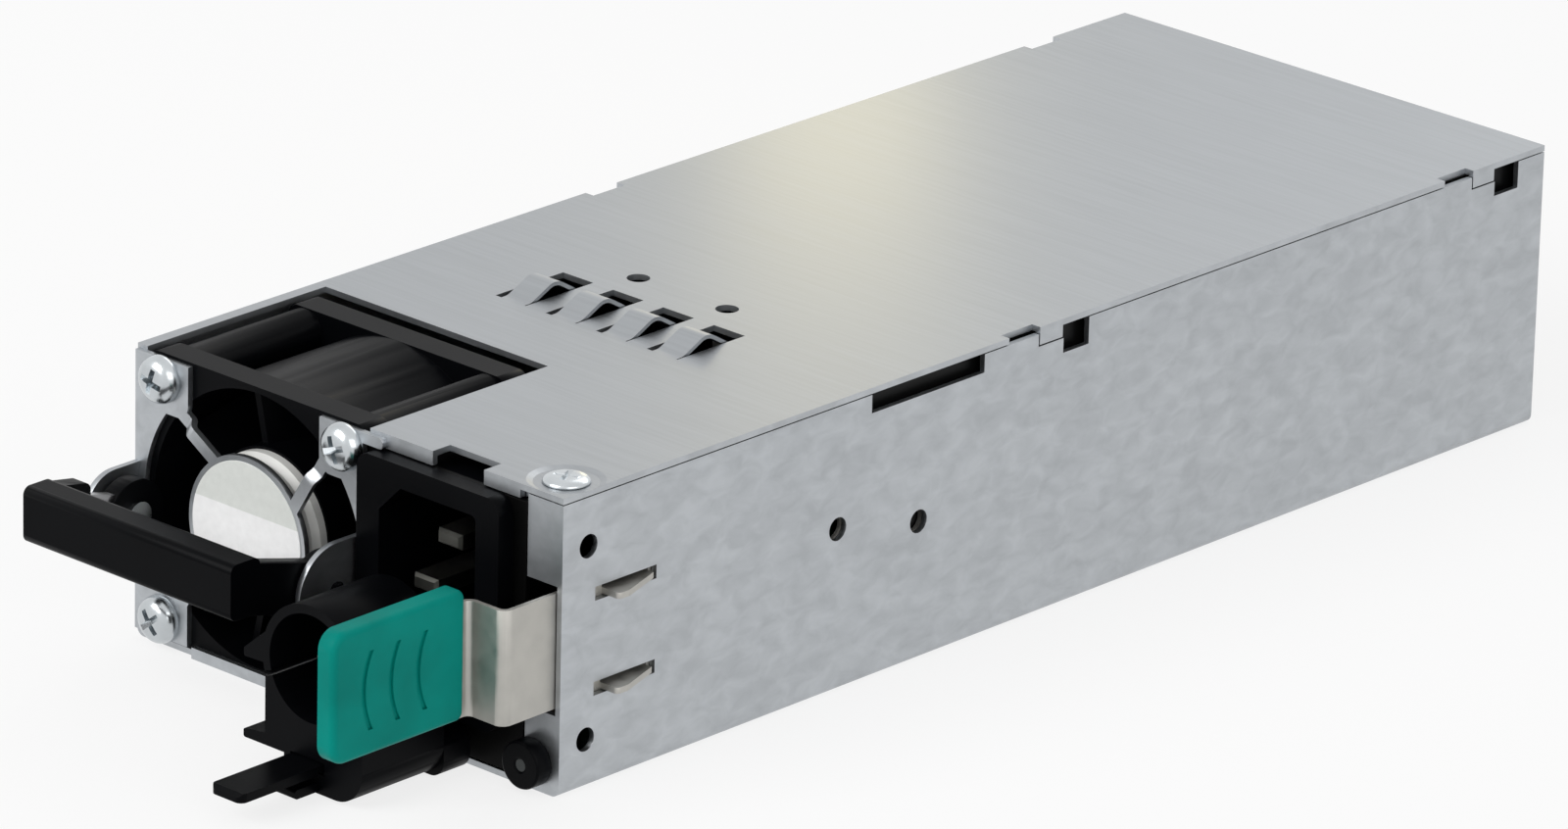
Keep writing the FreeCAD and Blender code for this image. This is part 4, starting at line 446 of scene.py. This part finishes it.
# The guard's front face, and where and how fast its label turns from white to grey
GUARD_FRONT = -94.3 * MM
LABEL_SPLIT, LABEL_BLEND = 22.9 * MM, 0.1 * MM
LABEL_RADIUS, LABEL_THICK = 9.5 * MM, 0.12 * MM
HUB_RADIUS, HUB_RISE = 9.9 * MM, 1.9 * MM


def disc(name, place, radius, thick, material, body):
    """A thin round plate with a chamfered rim, its back at the place, +Z out."""
    chamfer = (1 - DISC_RIM) * thick
    rings = [ring(radius, 0, DISC_SEGMENTS), ring(radius, DISC_RIM * thick, DISC_SEGMENTS),
             ring(radius - chamfer, thick, DISC_SEGMENTS)]
    return piece(mesh_object(name, *loft(rings), place), material, body)


def label_material():
    """Blank paper: a pale grey upper part and a white lower part."""
    made = Surface("label_paper", (0.75, 0.75, 0.73), roughness=0.5, specular=0.2)
    split = made.node("ShaderNodeSeparateXYZ")
    made.join(made.node("ShaderNodeTexCoord"), "Object", split, "Vector")
    step = made.span(split, "Z", 0, 1, start=LABEL_SPLIT, end=LABEL_SPLIT + LABEL_BLEND)
    fibre = made.pattern("ShaderNodeTexNoise", 900, Detail=4)
    white = made.ramp(fibre, "Fac", [(0.3, (0.86, 0.86, 0.86)), (0.7, (0.92, 0.92, 0.92))])
    grey = made.ramp(fibre, "Fac", [(0.3, (0.68, 0.70, 0.67)), (0.7, (0.73, 0.75, 0.72))])
    made.paint(made.mix(step, "Result", white, grey), MIX_RESULT)
    return made.material


def add_faces(materials):
    """The blank label on the guard's disc, and the pale face of the hub behind it."""
    x, _, z = centre_of("fan_rotor")
    disc("guard_label", facing_front((x, GUARD_FRONT, z)), LABEL_RADIUS, LABEL_THICK,
         label_material(), "case")
    hub_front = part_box("fan_rotor")[0][1]
    disc("hub_face", facing_front((x, hub_front, z)), HUB_RADIUS, HUB_RISE,
         materials["fuse_tube"], "rotor")


# Stage


def seen_directly(tree):
    """1 for camera, glossy and transmission rays, and 0 for the rays that carry light."""
    path = tree.nodes.new("ShaderNodeLightPath")
    total = path.outputs["Is Camera Ray"]
    for name in ("Is Glossy Ray", "Is Transmission Ray"):
        join = tree.nodes.new("ShaderNodeMath")
        join.operation = "MAXIMUM"
        tree.links.new(total, join.inputs[0])
        tree.links.new(path.outputs[name], join.inputs[1])
        total = join.outputs[0]
    return total


def add_world():
    """White where it is seen, and a plain grey where it lights the object."""
    world = bpy.data.worlds.new("studio")
    world.use_nodes = True
    tree = world.node_tree
    background = tree.nodes["Background"]
    mix = tree.nodes.new("ShaderNodeMix")
    mix.data_type = "RGBA"
    mix.inputs[MIX_A].default_value = (0.5, 0.5, 0.5, 1)
    mix.inputs[MIX_B].default_value = (1, 1, 1, 1)
    tree.links.new(seen_directly(tree), mix.inputs[MIX_FACTOR])
    tree.links.new(mix.outputs[MIX_RESULT], background.inputs["Color"])
    background.inputs["Strength"].default_value = 1.0
    bpy.context.scene.world = world


def add_floor():
    """A pale floor that keeps the object's shadow and otherwise nears the background's white."""
    half, drop, whiteness = 6.0, 0.02 * MM, 0.8
    corners = [(x * half, y * half, -drop) for x, y in ((-1, -1), (1, -1), (1, 1), (-1, 1))]
    floor = mesh_object("floor", corners, [(0, 1, 2, 3)])
    made = Surface("floor_paint", (0.88, 0.88, 0.88), roughness=0.9, specular=0.0)
    cloud = made.pattern("ShaderNodeTexNoise", 2, Detail=1)
    made.paint(made.shades(cloud, "Fac", 0.995, 1.005))
    glow = made.node("ShaderNodeEmission", Strength=1.0)
    share = made.node("ShaderNodeMath", operation="MULTIPLY")
    share.inputs[1].default_value = whiteness
    made.tree.links.new(seen_directly(made.tree), share.inputs[0])
    mix = made.node("ShaderNodeMixShader")
    made.join(share, 0, mix, 0)
    made.join(made.shader, "BSDF", mix, 1)
    made.join(glow, "Emission", mix, 2)
    made.join(mix, 0, made.tree.nodes["Material Output"], "Surface")
    floor.data.materials.append(made.material)


def area_lamp(name, place, aim, size, watts, colour=(1, 1, 1)):
    """A rectangular lamp that the camera doesn't see."""
    data = bpy.data.lights.new(name, "AREA")
    data.shape = "RECTANGLE"
    data.size, data.size_y = size
    data.energy = watts
    data.color = colour
    lamp = bpy.data.objects.new(name, data)
    lamp.location = place
    lamp.rotation_euler = (Vector(aim) - Vector(place)).to_track_quat("-Z", "Y").to_euler()
    lamp.visible_camera = False
    bpy.context.collection.objects.link(lamp)


def add_lamps():
    """Soft light from the front, the right and behind, and a warm gleam on the cover."""
    area_lamp("key", (-0.5, -1.5, 1.15), (0, 0, 0), (1.2, 1.2), 20)
    area_lamp("fill", (1.6, -0.6, 0.9), (0, 0, 0), (1.4, 1.0), 8)
    area_lamp("back", (-0.3, 1.6, 1.3), (0, 0, 0), (1.6, 0.8), 5)
    spot, reach = Vector((-16, 13, 39)) * MM, 0.15
    mirrored = direction(180 + CAMERA["azimuth"], CAMERA["elevation"])
    area_lamp("glint", spot + reach * mirrored, spot, (0.03, 0.02), 0.0065, (1.0, 0.84, 0.42))


add_camera()
MATERIALS = make_materials()
dress_frame(MATERIALS)
add_screws(MATERIALS)
add_faces(MATERIALS)
add_world()
add_floor()
add_lamps()
bpy.context.scene.view_settings.view_transform = "Standard"
